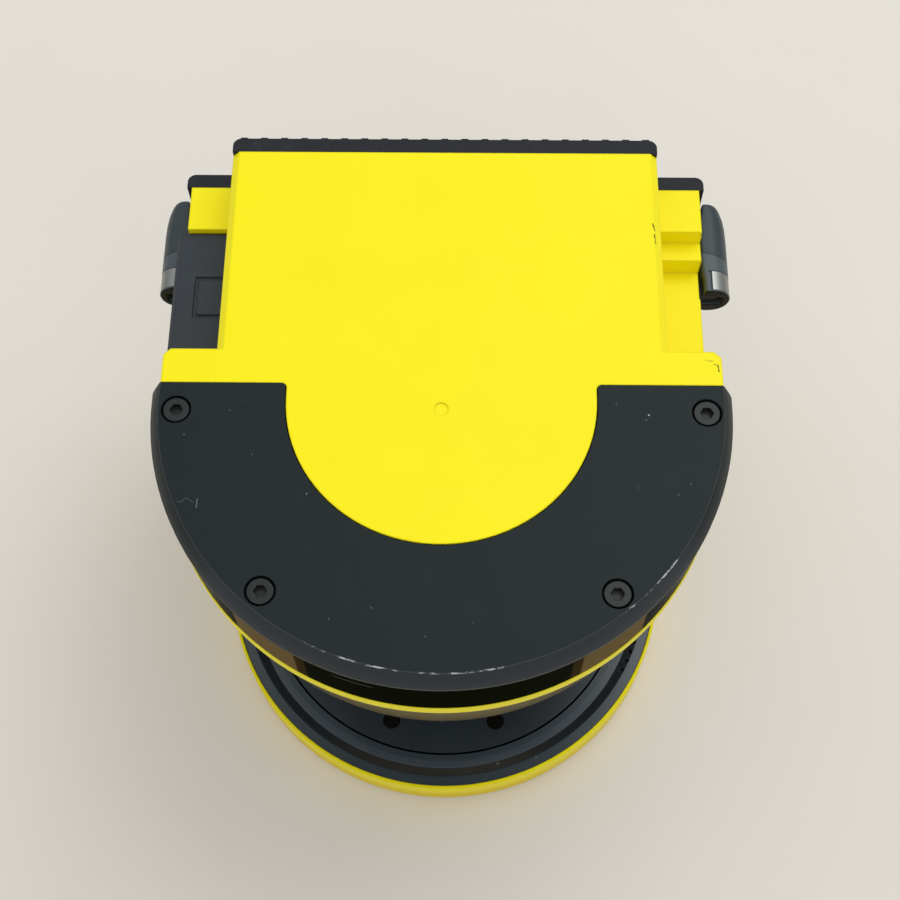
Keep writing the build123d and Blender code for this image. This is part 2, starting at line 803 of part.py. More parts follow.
# Cover plate: low upright edge, wide bevel, rounded rear corners, round cut-out for the
# nose of the housing and four sunk screw seats
with BuildPart() as cover_plate:
    with BuildSketch(Plane.XZ):
        with BuildLine():
            Polyline(
                (0, plate_bottom),
                (plate_radius - plate_edge, plate_bottom),
                (plate_radius, plate_bottom + plate_edge),
                (plate_radius, plate_bottom + plate_wall),
                (plate_radius - plate_bevel + plate_edge, top_level - plate_edge),
                (plate_radius - plate_bevel, top_level),
                (0, top_level),
                close=True,
            )
        make_face()
    revolve(axis=Axis.Z)
    with BuildSketch(Plane.XY.offset(plate_bottom)):
        with Locations((0, plate_rear - plate_radius)):
            RectangleRounded(2 * plate_radius, 2 * plate_radius, plate_corner)
    extrude(amount=plate_thickness, mode=Mode.INTERSECT)
    with BuildSketch(Plane.XY.offset(plate_bottom)):
        Circle(nose_radius + plate_play)
        block_sketch(nose_radius + plate_play, 0, plate_rear + 1.0)
    extrude(amount=plate_thickness, mode=Mode.SUBTRACT)
    inner_corners = [
        edge
        for edge in cover_plate.edges().filter_by(Axis.Z)
        if abs(edge.center().Y - plate_rear) < 0.01 and abs(edge.center().X) < nose_radius + 1.0
    ]
    fillet(inner_corners, nose_root - plate_play)
    plate_seats = [(place[0], place[1], top_level) for place in plate_screw_places]
    with Locations(plate_seats):
        CounterBoreHole(
            radius=screw_radius + 0.2,
            counter_bore_radius=screw_head_radius + counterbore_play,
            counter_bore_depth=screw_head_height + 0.2,
        )
save(cover_plate, "cover_plate")

plate_seat_level = top_level - screw_head_height - 0.2
plate_fixings = cap_screws(
    [Plane(origin=(place[0], place[1], plate_seat_level)) for place in plate_screw_places],
    plate_seat_level - core_top + plate_screw_thread,
)
save(plate_fixings, "cover_screws")

# Rear casting: wings and top as one plate, fins behind, a pedestal for the processor
back_face = Plane(origin=(0, sink_rear, 0), x_dir=(-1, 0, 0), z_dir=(0, 1, 0))
fin_places = [((index - (fin_count - 1) / 2) * fin_pitch, 0) for index in range(fin_count)]
fin_bottom = housing_bottom + fin_foot
fin_top = top_level - fin_top_margin
board_middle = (cavity_floor + top_level - housing_wall) / 2
board_rear = block_rear - board_standoff
standoff_places = [
    (
        x * (main_board_width / 2 - board_corner_inset),
        board_middle + z * (main_board_height / 2 - board_corner_inset),
    )
    for x in (-1, 1)
    for z in (-1, 1)
]
pedestal_height = board_standoff - processor_height - pad_thickness
mount_places = [
    (x * mount_spacing_x / 2, mount_height + z * mount_spacing_z / 2)
    for x in (-1, 1)
    for z in (-1, 1)
]
with BuildPart() as rear_heat_sink:
    with BuildSketch(back_face):
        with Locations((0, (housing_bottom + side_top) / 2)):
            Rectangle(2 * side_half, side_top - housing_bottom)
        with Locations((0, (side_top + top_level) / 2)):
            Rectangle(2 * block_half, top_level - side_top)
    extrude(amount=-sink_plate)
    wing_corners = rear_heat_sink.edges().filter_by(Axis.Z).group_by(Axis.Y)[-1]
    fillet(wing_corners, sink_corner)
    with BuildSketch(back_face):
        with Locations((0, (fin_bottom + fin_top) / 2)):
            Rectangle(fin_count * fin_pitch - fin_pitch, fin_top - fin_bottom)
    extrude(amount=-fin_depth, mode=Mode.SUBTRACT)
    with BuildSketch(back_face.offset(fin_proud)):
        with Locations([(x, (fin_bottom + top_level - fin_drop) / 2) for x, _ in fin_places]):
            Rectangle(fin_width, top_level - fin_drop - fin_bottom)
    extrude(amount=-fin_depth - fin_proud)
    with BuildSketch(rear_face):
        with Locations((0, board_middle)):
            Rectangle(processor_side + 2.0, processor_side + 2.0)
    extrude(amount=pedestal_height)
    with BuildSketch(rear_face):
        with Locations(standoff_places):
            Circle(standoff_radius)
    extrude(amount=board_standoff)
    with BuildSketch(rear_face):
        with Locations(standoff_places):
            Circle(screw_radius + screw_clearance)
    extrude(amount=board_standoff, mode=Mode.SUBTRACT)
    with BuildSketch(rear_face):
        with Locations(mount_places):
            Circle(mount_boss_radius)
    extrude(amount=mount_boss_length)
    with BuildSketch(rear_face.offset(-sink_plate)):
        with Locations(mount_places):
            Circle(mount_hole_radius)
    extrude(amount=sink_plate + mount_boss_length - 1.5, mode=Mode.SUBTRACT)
    with Locations(back_face):
        with Locations([(s * sink_screw_x, h) for s in (-1, 1) for h in sink_screw_heights]):
            CounterBoreHole(
                radius=screw_radius + 0.2,
                counter_bore_radius=screw_head_radius + counterbore_play,
                counter_bore_depth=low_head_height + 0.2,
                depth=sink_plate,
            )
save(rear_heat_sink, "rear_heat_sink")

sink_seat = sink_rear - low_head_height - 0.2
sink_fixings = cap_screws(
    [
        Plane(origin=(s * sink_screw_x, sink_seat, h), x_dir=(1, 0, 0), z_dir=(0, 1, 0))
        for s in (-1, 1)
        for h in sink_screw_heights
    ],
    sink_seat - block_rear + sink_boss_length - 1.5,
    head=low_head_height,
)
save(sink_fixings, "heat_sink_screws")


# Side levers: half-round bars that swing on a pin at their front end
lever_end = Plane(origin=(0, lever_front, 0), x_dir=(1, 0, 0), z_dir=(0, -1, 0))
lever_centre_x = lever_outer - lever_round
clip_front = lever_front + 0.4
clip_end = Plane(origin=(0, clip_front, 0), x_dir=(1, 0, 0), z_dir=(0, -1, 0))
slot_half = lever_lug_thickness / 2 + lever_play
slot_end = lever_axis_x + lever_lug_half + lever_play
with BuildPart() as right_lever:
    with BuildSketch(lever_end):
        with Locations((lever_centre_x, lever_middle)):
            Circle(lever_round)
        with Locations(((lever_inner + lever_centre_x) / 2, lever_middle)):
            Rectangle(lever_centre_x - lever_inner, lever_height)
        with Locations((lever_inner - 5.0, lever_middle)):
            Rectangle(10.0, 2 * lever_height, mode=Mode.SUBTRACT)
    extrude(amount=-lever_length)
    tip = Plane.XY.offset(lever_top - lever_height - 1.0)
    with BuildSketch(tip):
        with BuildLine():
            Polyline(
                (lever_outer + 1.0, lever_front + lever_length * 0.45),
                (lever_outer, lever_front + lever_length * 0.45),
                (lever_outer - lever_tip_taper * 0.35, lever_front + lever_length * 0.8),
                (lever_outer - lever_tip_taper, lever_front + lever_length - 1.2),
                (lever_inner, lever_front + lever_length + 0.01),
                (lever_outer + 1.0, lever_front + lever_length + 0.01),
                close=True,
            )
        make_face()
    extrude(amount=lever_height + 2.0, mode=Mode.SUBTRACT)
    # Groove for the steel clip
    with BuildSketch(clip_end):
        with Locations((lever_centre_x, lever_middle)):
            Circle(lever_round + 1.0)
            Circle(lever_round - lever_groove, mode=Mode.SUBTRACT)
        with Locations((lever_centre_x - 5.0, lever_middle)):
            Rectangle(10.0, 3 * lever_height, mode=Mode.SUBTRACT)
    extrude(amount=-clip_width, mode=Mode.SUBTRACT)
    # Slot for the hinge lug, open at the inner side and at the front end
    with BuildSketch(Plane.XY.offset(lever_middle - slot_half)):
        slot_rear = lever_axis_y + lever_lug_half + lever_play
        with Locations(((lever_inner + slot_end) / 2 - 0.5, (lever_front + slot_rear) / 2 - 0.5)):
            Rectangle(slot_end - lever_inner + 1.0, slot_rear - lever_front + 1.0)
    extrude(amount=2 * slot_half, mode=Mode.SUBTRACT)
    with BuildSketch(Plane.XY.offset(lever_top - lever_height)):
        with Locations((lever_axis_x, lever_axis_y)):
            Circle(lever_pin_radius + 0.05)
    extrude(amount=lever_height, mode=Mode.SUBTRACT)

with BuildPart() as right_clip:
    with BuildSketch(clip_end.offset(-0.1)):
        with Locations((lever_centre_x, lever_middle)):
            Circle(lever_round - lever_groove + clip_thickness)
            Circle(lever_round - lever_groove, mode=Mode.SUBTRACT)
        with Locations((lever_centre_x - 5.0, lever_middle)):
            Rectangle(10.0, 3 * lever_height, mode=Mode.SUBTRACT)
    extrude(amount=-clip_width + 0.2)
save(right_lever, "right_lever")
save(right_clip, "right_lever_clip")

with BuildPart() as left_lever:
    add(mirror(right_lever.part, about=Plane.YZ, mode=Mode.PRIVATE))
with BuildPart() as left_clip:
    add(mirror(right_clip.part, about=Plane.YZ, mode=Mode.PRIVATE))
save(left_lever, "left_lever")
save(left_clip, "left_lever_clip")

# Steel hinge pins of the two levers, held by the lugs of the housing
pin_margin = 1.0
with BuildPart() as lever_pins:
    with BuildSketch(Plane.XY.offset(lever_top - lever_height + pin_margin)):
        with Locations((-lever_axis_x, lever_axis_y), (lever_axis_x, lever_axis_y)):
            Circle(lever_pin_radius)
    extrude(amount=lever_height - 2 * pin_margin)
save(lever_pins, "lever_pins")

# Cover over the left recess: thin moulding with an outer skirt and a grip mark
cover_front = shoulder_rear + cover_play
cover_rear = shoulder_rear + recess_floor_length + recess_step_length - cover_play
cover_outer = -side_half - cover_overhang
cover_inner = -block_half - cover_play
skirt_bottom = lever_top + 0.6
with BuildPart() as connector_cover:
    with BuildSketch(Plane.XY.offset(cover_top - cover_wall)):
        with Locations(((cover_outer + cover_inner) / 2, (cover_front + cover_rear) / 2)):
            Rectangle(cover_inner - cover_outer, cover_rear - cover_front)
    extrude(amount=cover_wall)
    with BuildSketch(Plane.XY.offset(skirt_bottom)):
        with Locations((cover_outer + cover_wall / 2, (cover_front + cover_rear) / 2)):
            Rectangle(cover_wall, cover_rear - cover_front)
    extrude(amount=cover_top - skirt_bottom)
    top_outer = connector_cover.edges().filter_by(Axis.Y).filter_by_position(
        Axis.X, cover_outer - 0.01, cover_outer + 0.01
    ).group_by(Axis.Z)[-1]
    chamfer(top_outer, cover_bevel)
    # Walls that stand on the recess floor and on its step
    with BuildSketch(Plane.XY.offset(recess_floor)):
        wall_length = recess_floor_length - 2 * cover_play
        with Locations((cover_inner - cover_wall / 2, cover_front + wall_length / 2)):
            Rectangle(cover_wall, wall_length)
        with Locations(((cover_inner - side_half) / 2, cover_front + cover_wall / 2)):
            Rectangle(side_half + cover_inner - 0.4, cover_wall)
    extrude(amount=cover_top - cover_wall - recess_floor)
    # Grip mark: a shallow channel round three sides of a field
    grip_x = (cover_outer + cover_inner) / 2 + 1.6
    grip_y = connector_y + 2.0
    with BuildSketch(Plane.XY.offset(cover_top)):
        with Locations((grip_x, grip_y)):
            Rectangle(grip_width, grip_length)
            with Locations((0.5, 0)):
                Rectangle(grip_width - 0.9, grip_length - 1.8, mode=Mode.SUBTRACT)
    extrude(amount=-grip_depth, mode=Mode.SUBTRACT)
save(connector_cover, "connector_cover")

# Service connector under the cover, with two rows of contact pins
connector_bottom = recess_floor - housing_wall
with BuildPart() as service_connector:
    with BuildSketch(Plane.XY.offset(connector_bottom)):
        with Locations((connector_x, connector_y)):
            Rectangle(connector_width, connector_length)
    extrude(amount=connector_height + housing_wall)
    with BuildSketch(Plane.XY.offset(recess_floor + connector_height)):
        with Locations((connector_x, connector_y)):
            Rectangle(connector_width - 1.6, connector_length - 1.6)
    extrude(amount=-connector_height + 0.8, mode=Mode.SUBTRACT)
save(service_connector, "service_connector")

with BuildPart() as connector_pins:
    with BuildSketch(Plane.XY.offset(recess_floor + 0.8)):
        with Locations((connector_x, connector_y)):
            with GridLocations(pin_pitch, pin_pitch, 2, pin_count):
                Rectangle(pin_side, pin_side)
    extrude(amount=connector_height - 2.0)
save(connector_pins, "connector_pins")

# Spindle housing of the motor: a flange on the cap floor and a tube for two bearings
bearing_floor = motor_floor + 0.6
tube_top = bearing_floor + 2 * bearing_width + bearing_spacing
tube_radius = bearing_radius + tube_wall
plate_top = motor_floor + motor_plate
with BuildPart() as spindle_housing:
    with BuildSketch(Plane.XY.offset(motor_floor)):
        Circle(motor_plate_radius)
        with Locations([place[:2] for place in motor_holes]):
            Circle(screw_radius + 0.2, mode=Mode.SUBTRACT)
    extrude(amount=motor_plate)
    with BuildSketch(Plane.XY.offset(motor_floor)):
        Circle(tube_radius)
    extrude(amount=tube_top - motor_floor)
    with BuildSketch(Plane.XY.offset(bearing_floor)):
        Circle(bearing_radius + 0.02)
    extrude(amount=tube_top - bearing_floor, mode=Mode.SUBTRACT)
save(spindle_housing, "spindle_housing")

# Two ball bearings, modelled as plain rings with the groove between their races
for bearing_name, bearing_low in (
    ("lower_bearing", bearing_floor),
    ("upper_bearing", tube_top - bearing_width),
):
    with BuildPart() as bearing:
        with BuildSketch(Plane.XY.offset(bearing_low)):
            Circle(bearing_radius)
            Circle(shaft_radius + shaft_play, mode=Mode.SUBTRACT)
        extrude(amount=bearing_width)
        with BuildSketch(Plane.XY.offset(bearing_low + bearing_width)):
            Circle(bearing_radius - 1.0)
            Circle(shaft_radius + 1.0, mode=Mode.SUBTRACT)
        extrude(amount=-0.4, mode=Mode.SUBTRACT)
    save(bearing, bearing_name)

with BuildPart() as bearing_spacer:
    with BuildSketch(Plane.XY.offset(bearing_floor + bearing_width)):
        Circle(bearing_radius)
        Circle(bearing_radius - 1.2, mode=Mode.SUBTRACT)
    extrude(amount=bearing_spacing)
save(bearing_spacer, "bearing_spacer")

motor_fixings = cap_screws(
    [Plane(origin=(place[0], place[1], plate_top)) for place in motor_holes],
    plate_top - 0.8,
    socket=False,
)
save(motor_fixings, "motor_screws")

# Stator: a star of laminated steel pressed on the tube, with a coil on each tooth
stator_low = plate_top + running_gap + 0.8
yoke_radius = tube_radius + 2.4
with BuildPart() as motor_stator:
    with BuildSketch(Plane.XY.offset(stator_low)):
        Circle(yoke_radius)
        with PolarLocations((yoke_radius + stator_radius - 0.6) / 2, tooth_count):
            Rectangle(stator_radius - yoke_radius + 0.6, tooth_width)
        Circle(tube_radius + 0.01, mode=Mode.SUBTRACT)
    extrude(amount=stator_height)
save(motor_stator, "motor_stator")

coil_play = 0.05
coil_length = stator_radius - yoke_radius - 1.2
with BuildPart() as motor_coils:
    with BuildSketch(Plane.XY.offset(stator_low - coil_build + 0.4)):
        with PolarLocations((yoke_radius + stator_radius) / 2 + 0.2, tooth_count):
            Rectangle(coil_length, tooth_width + 1.4)
    extrude(amount=stator_height + 2 * coil_build - 0.8)
    with BuildSketch(Plane.XY.offset(stator_low - coil_play)):
        with PolarLocations((yoke_radius + stator_radius) / 2 + 0.2, tooth_count):
            Rectangle(coil_length + 1.0, tooth_width + 2 * coil_play)
    extrude(amount=stator_height + 2 * coil_play, mode=Mode.SUBTRACT)
save(motor_coils, "motor_coils")

# Rotor: steel bell with a ring of magnets, pressed on the shaft
magnet_inner = stator_radius + air_gap
magnet_outer = magnet_inner + magnet_thickness
bell_radius = magnet_outer + bell_wall
bell_low = plate_top + running_gap
bell_top = tube_top + running_gap + bell_wall
with BuildPart() as rotor_bell:
    with BuildSketch(Plane.XY.offset(bell_low)):
        Circle(bell_radius)
    extrude(amount=bell_top - bell_low)
    with BuildSketch(Plane.XY.offset(bell_low)):
        Circle(magnet_outer)
    extrude(amount=bell_top - bell_wall - bell_low, mode=Mode.SUBTRACT)
    with BuildSketch(Plane.XY.offset(bell_low)):
        Circle(shaft_radius)
    extrude(amount=bell_top - bell_low, mode=Mode.SUBTRACT)
save(rotor_bell, "rotor_bell")

with BuildPart() as rotor_magnets:
    with BuildSketch(Plane.XY.offset(bell_low + 0.4)):
        Circle(magnet_outer)
        Circle(magnet_inner, mode=Mode.SUBTRACT)
    extrude(amount=bell_top - bell_wall - bell_low - 0.4)
save(rotor_magnets, "rotor_magnets")

shaft_top = bell_top + encoder_thickness + mirror_base
with BuildPart() as rotor_shaft:
    with BuildSketch(Plane.XY.offset(bearing_floor + 0.2)):
        Circle(shaft_radius)
    extrude(amount=shaft_top - bearing_floor - 0.2)
    chamfer(rotor_shaft.edges().group_by(Axis.Z)[0], 0.3)
save(rotor_shaft, "rotor_shaft")

# Slotted disc that tells the angle of the mirror
with BuildPart() as encoder_disc:
    with BuildSketch(Plane.XY.offset(bell_top)):
        Circle(encoder_radius)
        Circle(shaft_radius, mode=Mode.SUBTRACT)
        with PolarLocations(encoder_radius - encoder_slot_length / 2 - 0.8, encoder_slots):
            Rectangle(encoder_slot_length, encoder_slot_width, mode=Mode.SUBTRACT)
    extrude(amount=encoder_thickness)
save(encoder_disc, "encoder_disc")

# Fork-shaped light barrier that reads the slots, standing on the cap floor at the rear
fork_inner = encoder_radius - encoder_slot_length - 0.3
fork_column = encoder_radius + 1.0
fork_outer = disc_bore - 1.0
jaw_low = bell_top - fork_gap
jaw_high = bell_top + encoder_thickness + fork_gap
with BuildPart() as encoder_sensor:
    with BuildSketch(Plane.XY.offset(motor_floor)):
        block_sketch(fork_width / 2, fork_inner, fork_outer)
    extrude(amount=jaw_high + fork_jaw - motor_floor)
    with BuildSketch(Plane.XY.offset(jaw_low)):
        block_sketch(fork_width / 2 + 1.0, fork_inner - 1.0, fork_column)
    extrude(amount=jaw_high - jaw_low, mode=Mode.SUBTRACT)
save(encoder_sensor, "encoder_sensor")

# Mirror carrier: a wedge with a sloping plate between two cheeks, turned round outside
carrier_low = bell_top + encoder_thickness
wedge_low = carrier_low + mirror_base
mirror_centre = wedge_low + mirror_radius
rib = mirror_rib
with BuildPart() as mirror_carrier:
    with BuildSketch(Plane.XY.offset(carrier_low)):
        Circle(mirror_radius)
        Circle(shaft_radius, mode=Mode.SUBTRACT)
    extrude(amount=mirror_base)
    with BuildSketch(Plane.YZ):
        with BuildLine():
            Polyline(
                (-mirror_radius, wedge_low),
                (mirror_radius, wedge_low),
                (mirror_radius, wedge_low + 2 * mirror_radius),
                close=True,
            )
        make_face()
    extrude(amount=mirror_radius, both=True)
    with BuildSketch(Plane.YZ):
        with BuildLine():
            Polyline(
                (-mirror_radius + 2.4 * rib, wedge_low),
                (mirror_radius, wedge_low),
                (mirror_radius, wedge_low + 2 * mirror_radius - 2.4 * rib),
                close=True,
            )
        make_face()
    extrude(amount=mirror_radius - 2 * rib, both=True, mode=Mode.SUBTRACT)
    with BuildSketch(Plane.XY.offset(carrier_low)):
        Circle(mirror_radius)
    extrude(amount=mirror_base + 2 * mirror_radius, mode=Mode.INTERSECT)
save(mirror_carrier, "mirror_carrier")

mirror_plane = Plane(origin=(0, 0, mirror_centre), x_dir=(1, 0, 0), z_dir=(0, -1, 1))
with BuildPart() as scan_mirror:
    with BuildSketch(mirror_plane):
        Ellipse(mirror_radius - 0.6, (mirror_radius - 0.6) * math.sqrt(2))
    extrude(amount=mirror_thickness)
save(scan_mirror, "scan_mirror")

# Optics carrier: a tube that holds the receiving lens and a funnel up to the detector
tube_low = mirror_centre + mirror_radius + mirror_thickness + lens_clearance - 0.6
tube_inner = lens_radius + lens_play
tube_outer = tube_inner + carrier_wall
tube_high = tube_low + carrier_tube
funnel_top = tube_high + funnel_height
carrier_top = funnel_top + carrier_flange
with BuildPart() as optics_carrier:
    with BuildSketch(Plane.XZ):
        with BuildLine():
            Polyline(
                (tube_inner - lens_lip, tube_low),
                (tube_outer, tube_low),
                (tube_outer, cavity_floor),
                (carrier_flange_radius, cavity_floor),
                (carrier_flange_radius, cavity_floor + carrier_flange),
                (tube_outer, cavity_floor + carrier_flange),
                (tube_outer, tube_high),
                (funnel_top_radius, funnel_top),
                (funnel_top_radius, carrier_top),
                (detector_radius + 0.1, carrier_top),
                (detector_radius + 0.1, funnel_top),
                (funnel_top_radius - carrier_wall, funnel_top),
                (tube_inner, tube_high),
                (tube_inner, tube_low + lens_lip),
                (tube_inner - lens_lip, tube_low + lens_lip),
                close=True,
            )
        make_face()
    revolve(axis=Axis.Z)
    with BuildSketch(Plane.XY.offset(cavity_floor)):
        with Locations([place[:2] for place in carrier_holes]):
            Circle(screw_radius + 0.2)
    extrude(amount=carrier_flange, mode=Mode.SUBTRACT)
save(optics_carrier, "optics_carrier")

# Receiving lens, flat below and domed above, with a bore for the laser
lens_low = tube_low + lens_lip
dome_centre = lens_low + lens_edge - math.sqrt(lens_curve**2 - lens_radius**2)
lens_crest = dome_centre + math.sqrt(lens_curve**2 - lens_bore**2)
with BuildPart() as receiver_lens:
    with BuildSketch(Plane.XY.offset(lens_low)):
        Circle(lens_radius)
        Circle(lens_bore, mode=Mode.SUBTRACT)
    extrude(amount=dome_centre + lens_curve - lens_low)
    with Locations((0, 0, dome_centre)):
        Sphere(lens_curve, mode=Mode.INTERSECT)
save(receiver_lens, "receiver_lens")

carrier_fixings = cap_screws(
    [Plane(origin=(place[0], place[1], cavity_floor + carrier_flange)) for place in carrier_holes],
    carrier_flange + bottom_plate - 0.8,
    socket=False,
)
save(carrier_fixings, "carrier_screws")

# Laser barrel in the bore of the lens, with its own lens at the lower end
barrel_low = lens_low - 2.5
collimator_recess = collimator_thickness + 0.5
barrel_high = barrel_low + laser_length
with BuildPart() as laser_module:
    with BuildSketch(Plane.XY.offset(barrel_low)):
        Circle(laser_radius)
    extrude(amount=laser_length)
    with BuildSketch(Plane.XY.offset(lens_crest + 0.05)):
        Circle(laser_radius + 1.4)
    extrude(amount=1.6)
    with BuildSketch(Plane.XY.offset(barrel_low)):
        Circle(collimator_radius + 0.05)
    extrude(amount=collimator_recess, mode=Mode.SUBTRACT)
    with BuildSketch(Plane.XY.offset(barrel_low)):
        Circle(collimator_radius - 0.8)
    extrude(amount=laser_length - 5.0, mode=Mode.SUBTRACT)
save(laser_module, "laser_module")

with BuildPart() as collimator_lens:
    lens_foot = barrel_low + collimator_recess - collimator_thickness
    with BuildSketch(Plane.XY.offset(lens_foot)):
        Circle(collimator_radius)
    extrude(amount=collimator_thickness)
    with Locations((0, 0, lens_foot + collimator_curve)):
        Sphere(collimator_curve, mode=Mode.INTERSECT)
save(collimator_lens, "collimator_lens")

# Laser driver board, carried on the barrel inside the funnel
driver_low = barrel_high
with BuildPart() as laser_driver_board:
    with BuildSketch(Plane.XY.offset(driver_low)):
        Circle(laser_radius + 4.0)
    extrude(amount=board_thickness)
save(laser_driver_board, "laser_driver_board")

# Light detector in its metal can, and its board on top of the funnel
with BuildPart() as detector:
    with BuildSketch(Plane.XY.offset(carrier_top - detector_height)):
        Circle(detector_radius)
    extrude(amount=detector_height)
    chamfer(detector.edges().group_by(Axis.Z)[0], 0.4)
save(detector, "detector")

with BuildPart() as detector_board:
    with BuildSketch(Plane.XY.offset(carrier_top)):
        RectangleRounded(detector_board_width, detector_board_depth, 2.0)
    extrude(amount=board_thickness)
save(detector_board, "detector_board")

# Camera modules behind the band: a lens barrel and a block, with a board at the back
for side, side_name in ((-1, "left"), (1, "right")):
    lens_face = core_radius - camera_set_back
    body_face = lens_face - camera_lens_length
    with BuildPart() as camera:
        with BuildSketch(tangent_plane(lens_face, side * camera_angle, camera_height)):
            Circle(camera_lens_radius)
        extrude(amount=-camera_lens_length)
        with BuildSketch(tangent_plane(body_face, side * camera_angle, camera_height)):
            RectangleRounded(camera_body_width, camera_body, 0.8)
        extrude(amount=-camera_body_depth)
        with BuildSketch(tangent_plane(lens_face, side * camera_angle, camera_height)):
            Circle(camera_lens_radius - 1.2)
        extrude(amount=-1.0, taper=30, mode=Mode.SUBTRACT)
    save(camera, side_name + "_camera")
    with BuildPart() as camera_card:
        card_face = body_face - camera_body_depth
        with BuildSketch(tangent_plane(card_face, side * camera_angle, camera_height)):
            Rectangle(camera_board, camera_body)
        extrude(amount=-camera_board_thickness)
    save(camera_card, side_name + "_camera_board")

# Main board on the standoffs of the rear casting, power board on brass spacers before it
main_face = Plane(origin=(0, board_rear, 0), x_dir=(1, 0, 0), z_dir=(0, -1, 0))
power_face = main_face.offset(board_thickness + board_spacing)
for board_name, board_face in (("main_board", main_face), ("power_board", power_face)):
    with BuildPart() as board:
        with BuildSketch(board_face):
            with Locations((0, board_middle)):
                RectangleRounded(main_board_width, main_board_height, 2.0)
            with Locations(standoff_places):
                Circle(screw_radius + 0.2, mode=Mode.SUBTRACT)
        extrude(amount=board_thickness)
    save(board, board_name)

with BuildPart() as board_spacers:
    with BuildSketch(main_face.offset(board_thickness)):
        with Locations(standoff_places):
            RegularPolygon(standoff_radius, 6)
            Circle(screw_radius + 0.05, mode=Mode.SUBTRACT)
    extrude(amount=board_spacing)
save(board_spacers, "board_spacers")

board_fixings = cap_screws(
    [
        Plane(
            origin=(x, power_face.origin.Y - board_thickness, z), x_dir=(1, 0, 0), z_dir=(0, -1, 0)
        )
        for x, z in standoff_places
    ],
    2 * board_thickness + board_spacing + board_standoff - 0.6,
    socket=False,
)
save(board_fixings, "board_screws")

# Processor and the pad that carries its heat to the pedestal of the casting
with BuildPart() as processor:
    with BuildSketch(main_face):
        with Locations((0, board_middle)):
            Rectangle(processor_side, processor_side)
    extrude(amount=-processor_height)
save(processor, "processor")

with BuildPart() as thermal_pad:
    with BuildSketch(main_face.offset(-processor_height)):
        with Locations((0, board_middle)):
            Rectangle(processor_side, processor_side)
    extrude(amount=-pad_thickness)
save(thermal_pad, "thermal_pad")

# Capacitors, coil and plug of the power board, standing on its front face
front_of_power = power_face.offset(board_thickness)
with BuildPart() as power_components:
    with BuildSketch(front_of_power):
        with Locations((-part_offset, board_middle)):
            with GridLocations(0, capacitor_spacing, 1, 2):
                Circle(capacitor_radius)
    extrude(amount=capacitor_height)
    with BuildSketch(front_of_power):
        with Locations((part_offset, board_middle + coil_side / 2 + 2.0)):
            Rectangle(coil_side, coil_side)
    extrude(amount=coil_height)
    with BuildSketch(front_of_power):
        with Locations((part_offset, board_middle - coil_side)):
            Rectangle(plug_width, plug_depth)
    extrude(amount=plug_height)
save(power_components, "power_components")
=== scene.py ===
import math

import bmesh
import bpy
import numpy as np
from mathutils import Matrix, Vector


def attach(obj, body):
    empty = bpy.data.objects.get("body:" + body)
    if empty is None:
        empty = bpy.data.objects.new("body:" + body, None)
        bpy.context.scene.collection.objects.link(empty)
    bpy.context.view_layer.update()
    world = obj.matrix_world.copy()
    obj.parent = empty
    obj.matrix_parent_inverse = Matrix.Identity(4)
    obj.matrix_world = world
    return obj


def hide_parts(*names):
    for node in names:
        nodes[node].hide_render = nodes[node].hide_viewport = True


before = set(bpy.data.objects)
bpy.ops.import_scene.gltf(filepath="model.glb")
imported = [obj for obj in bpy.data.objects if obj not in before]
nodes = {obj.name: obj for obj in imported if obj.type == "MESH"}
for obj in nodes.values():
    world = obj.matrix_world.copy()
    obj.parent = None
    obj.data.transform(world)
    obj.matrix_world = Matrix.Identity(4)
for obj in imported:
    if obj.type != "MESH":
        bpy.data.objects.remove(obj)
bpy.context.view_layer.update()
mm = 0.001

# Round yellow cap that the scanner stands on.
# It is moulded in yellow plastic with a satin skin; the thin rim shows round the dark ring,
# and screws from below hold the ring in it.


class Signal:
    """One output of a node, on which Python's operators add Math nodes."""

    def __init__(self, finish, socket):
        self.finish = finish
        self.socket = socket

    def math(self, operation, first, second=None):
        inputs = {0: first} if second is None else {0: first, 1: second}
        node = self.finish.node("ShaderNodeMath", {"operation": operation}, inputs)
        return Signal(self.finish, node.outputs[0])

    def __add__(self, other):
        return self.math("ADD", self, other)

    def __radd__(self, other):
        return self.math("ADD", other, self)

    def __sub__(self, other):
        return self.math("SUBTRACT", self, other)

    def __rsub__(self, other):
        return self.math("SUBTRACT", other, self)

    def __mul__(self, other):
        return self.math("MULTIPLY", self, other)

    def __rmul__(self, other):
        return self.math("MULTIPLY", other, self)

    def __truediv__(self, other):
        return self.math("DIVIDE", self, other)

    def __abs__(self):
        return self.math("ABSOLUTE", self)

    def __pow__(self, other):
        return self.math("POWER", self, other)

    def larger(self, other):
        return self.math("MAXIMUM", self, other)

    def smaller(self, other):
        return self.math("MINIMUM", self, other)

    def sine(self):
        return self.math("SINE", self)

    def rise(self, low, high):
        """0 below low, 1 above high, and a smooth step between them."""
        node = self.finish.node(
            "ShaderNodeMapRange",
            {"interpolation_type": "SMOOTHSTEP"},
            {"Value": self, "From Min": low, "From Max": high, "To Min": 0.0, "To Max": 1.0},
        )
        return Signal(self.finish, node.outputs["Result"])

    def within(self, low, high, soft):
        """1 between low and high, fading to 0 over soft on both sides."""
        return self.rise(low - soft, low) * (1.0 - self.rise(high, high + soft))


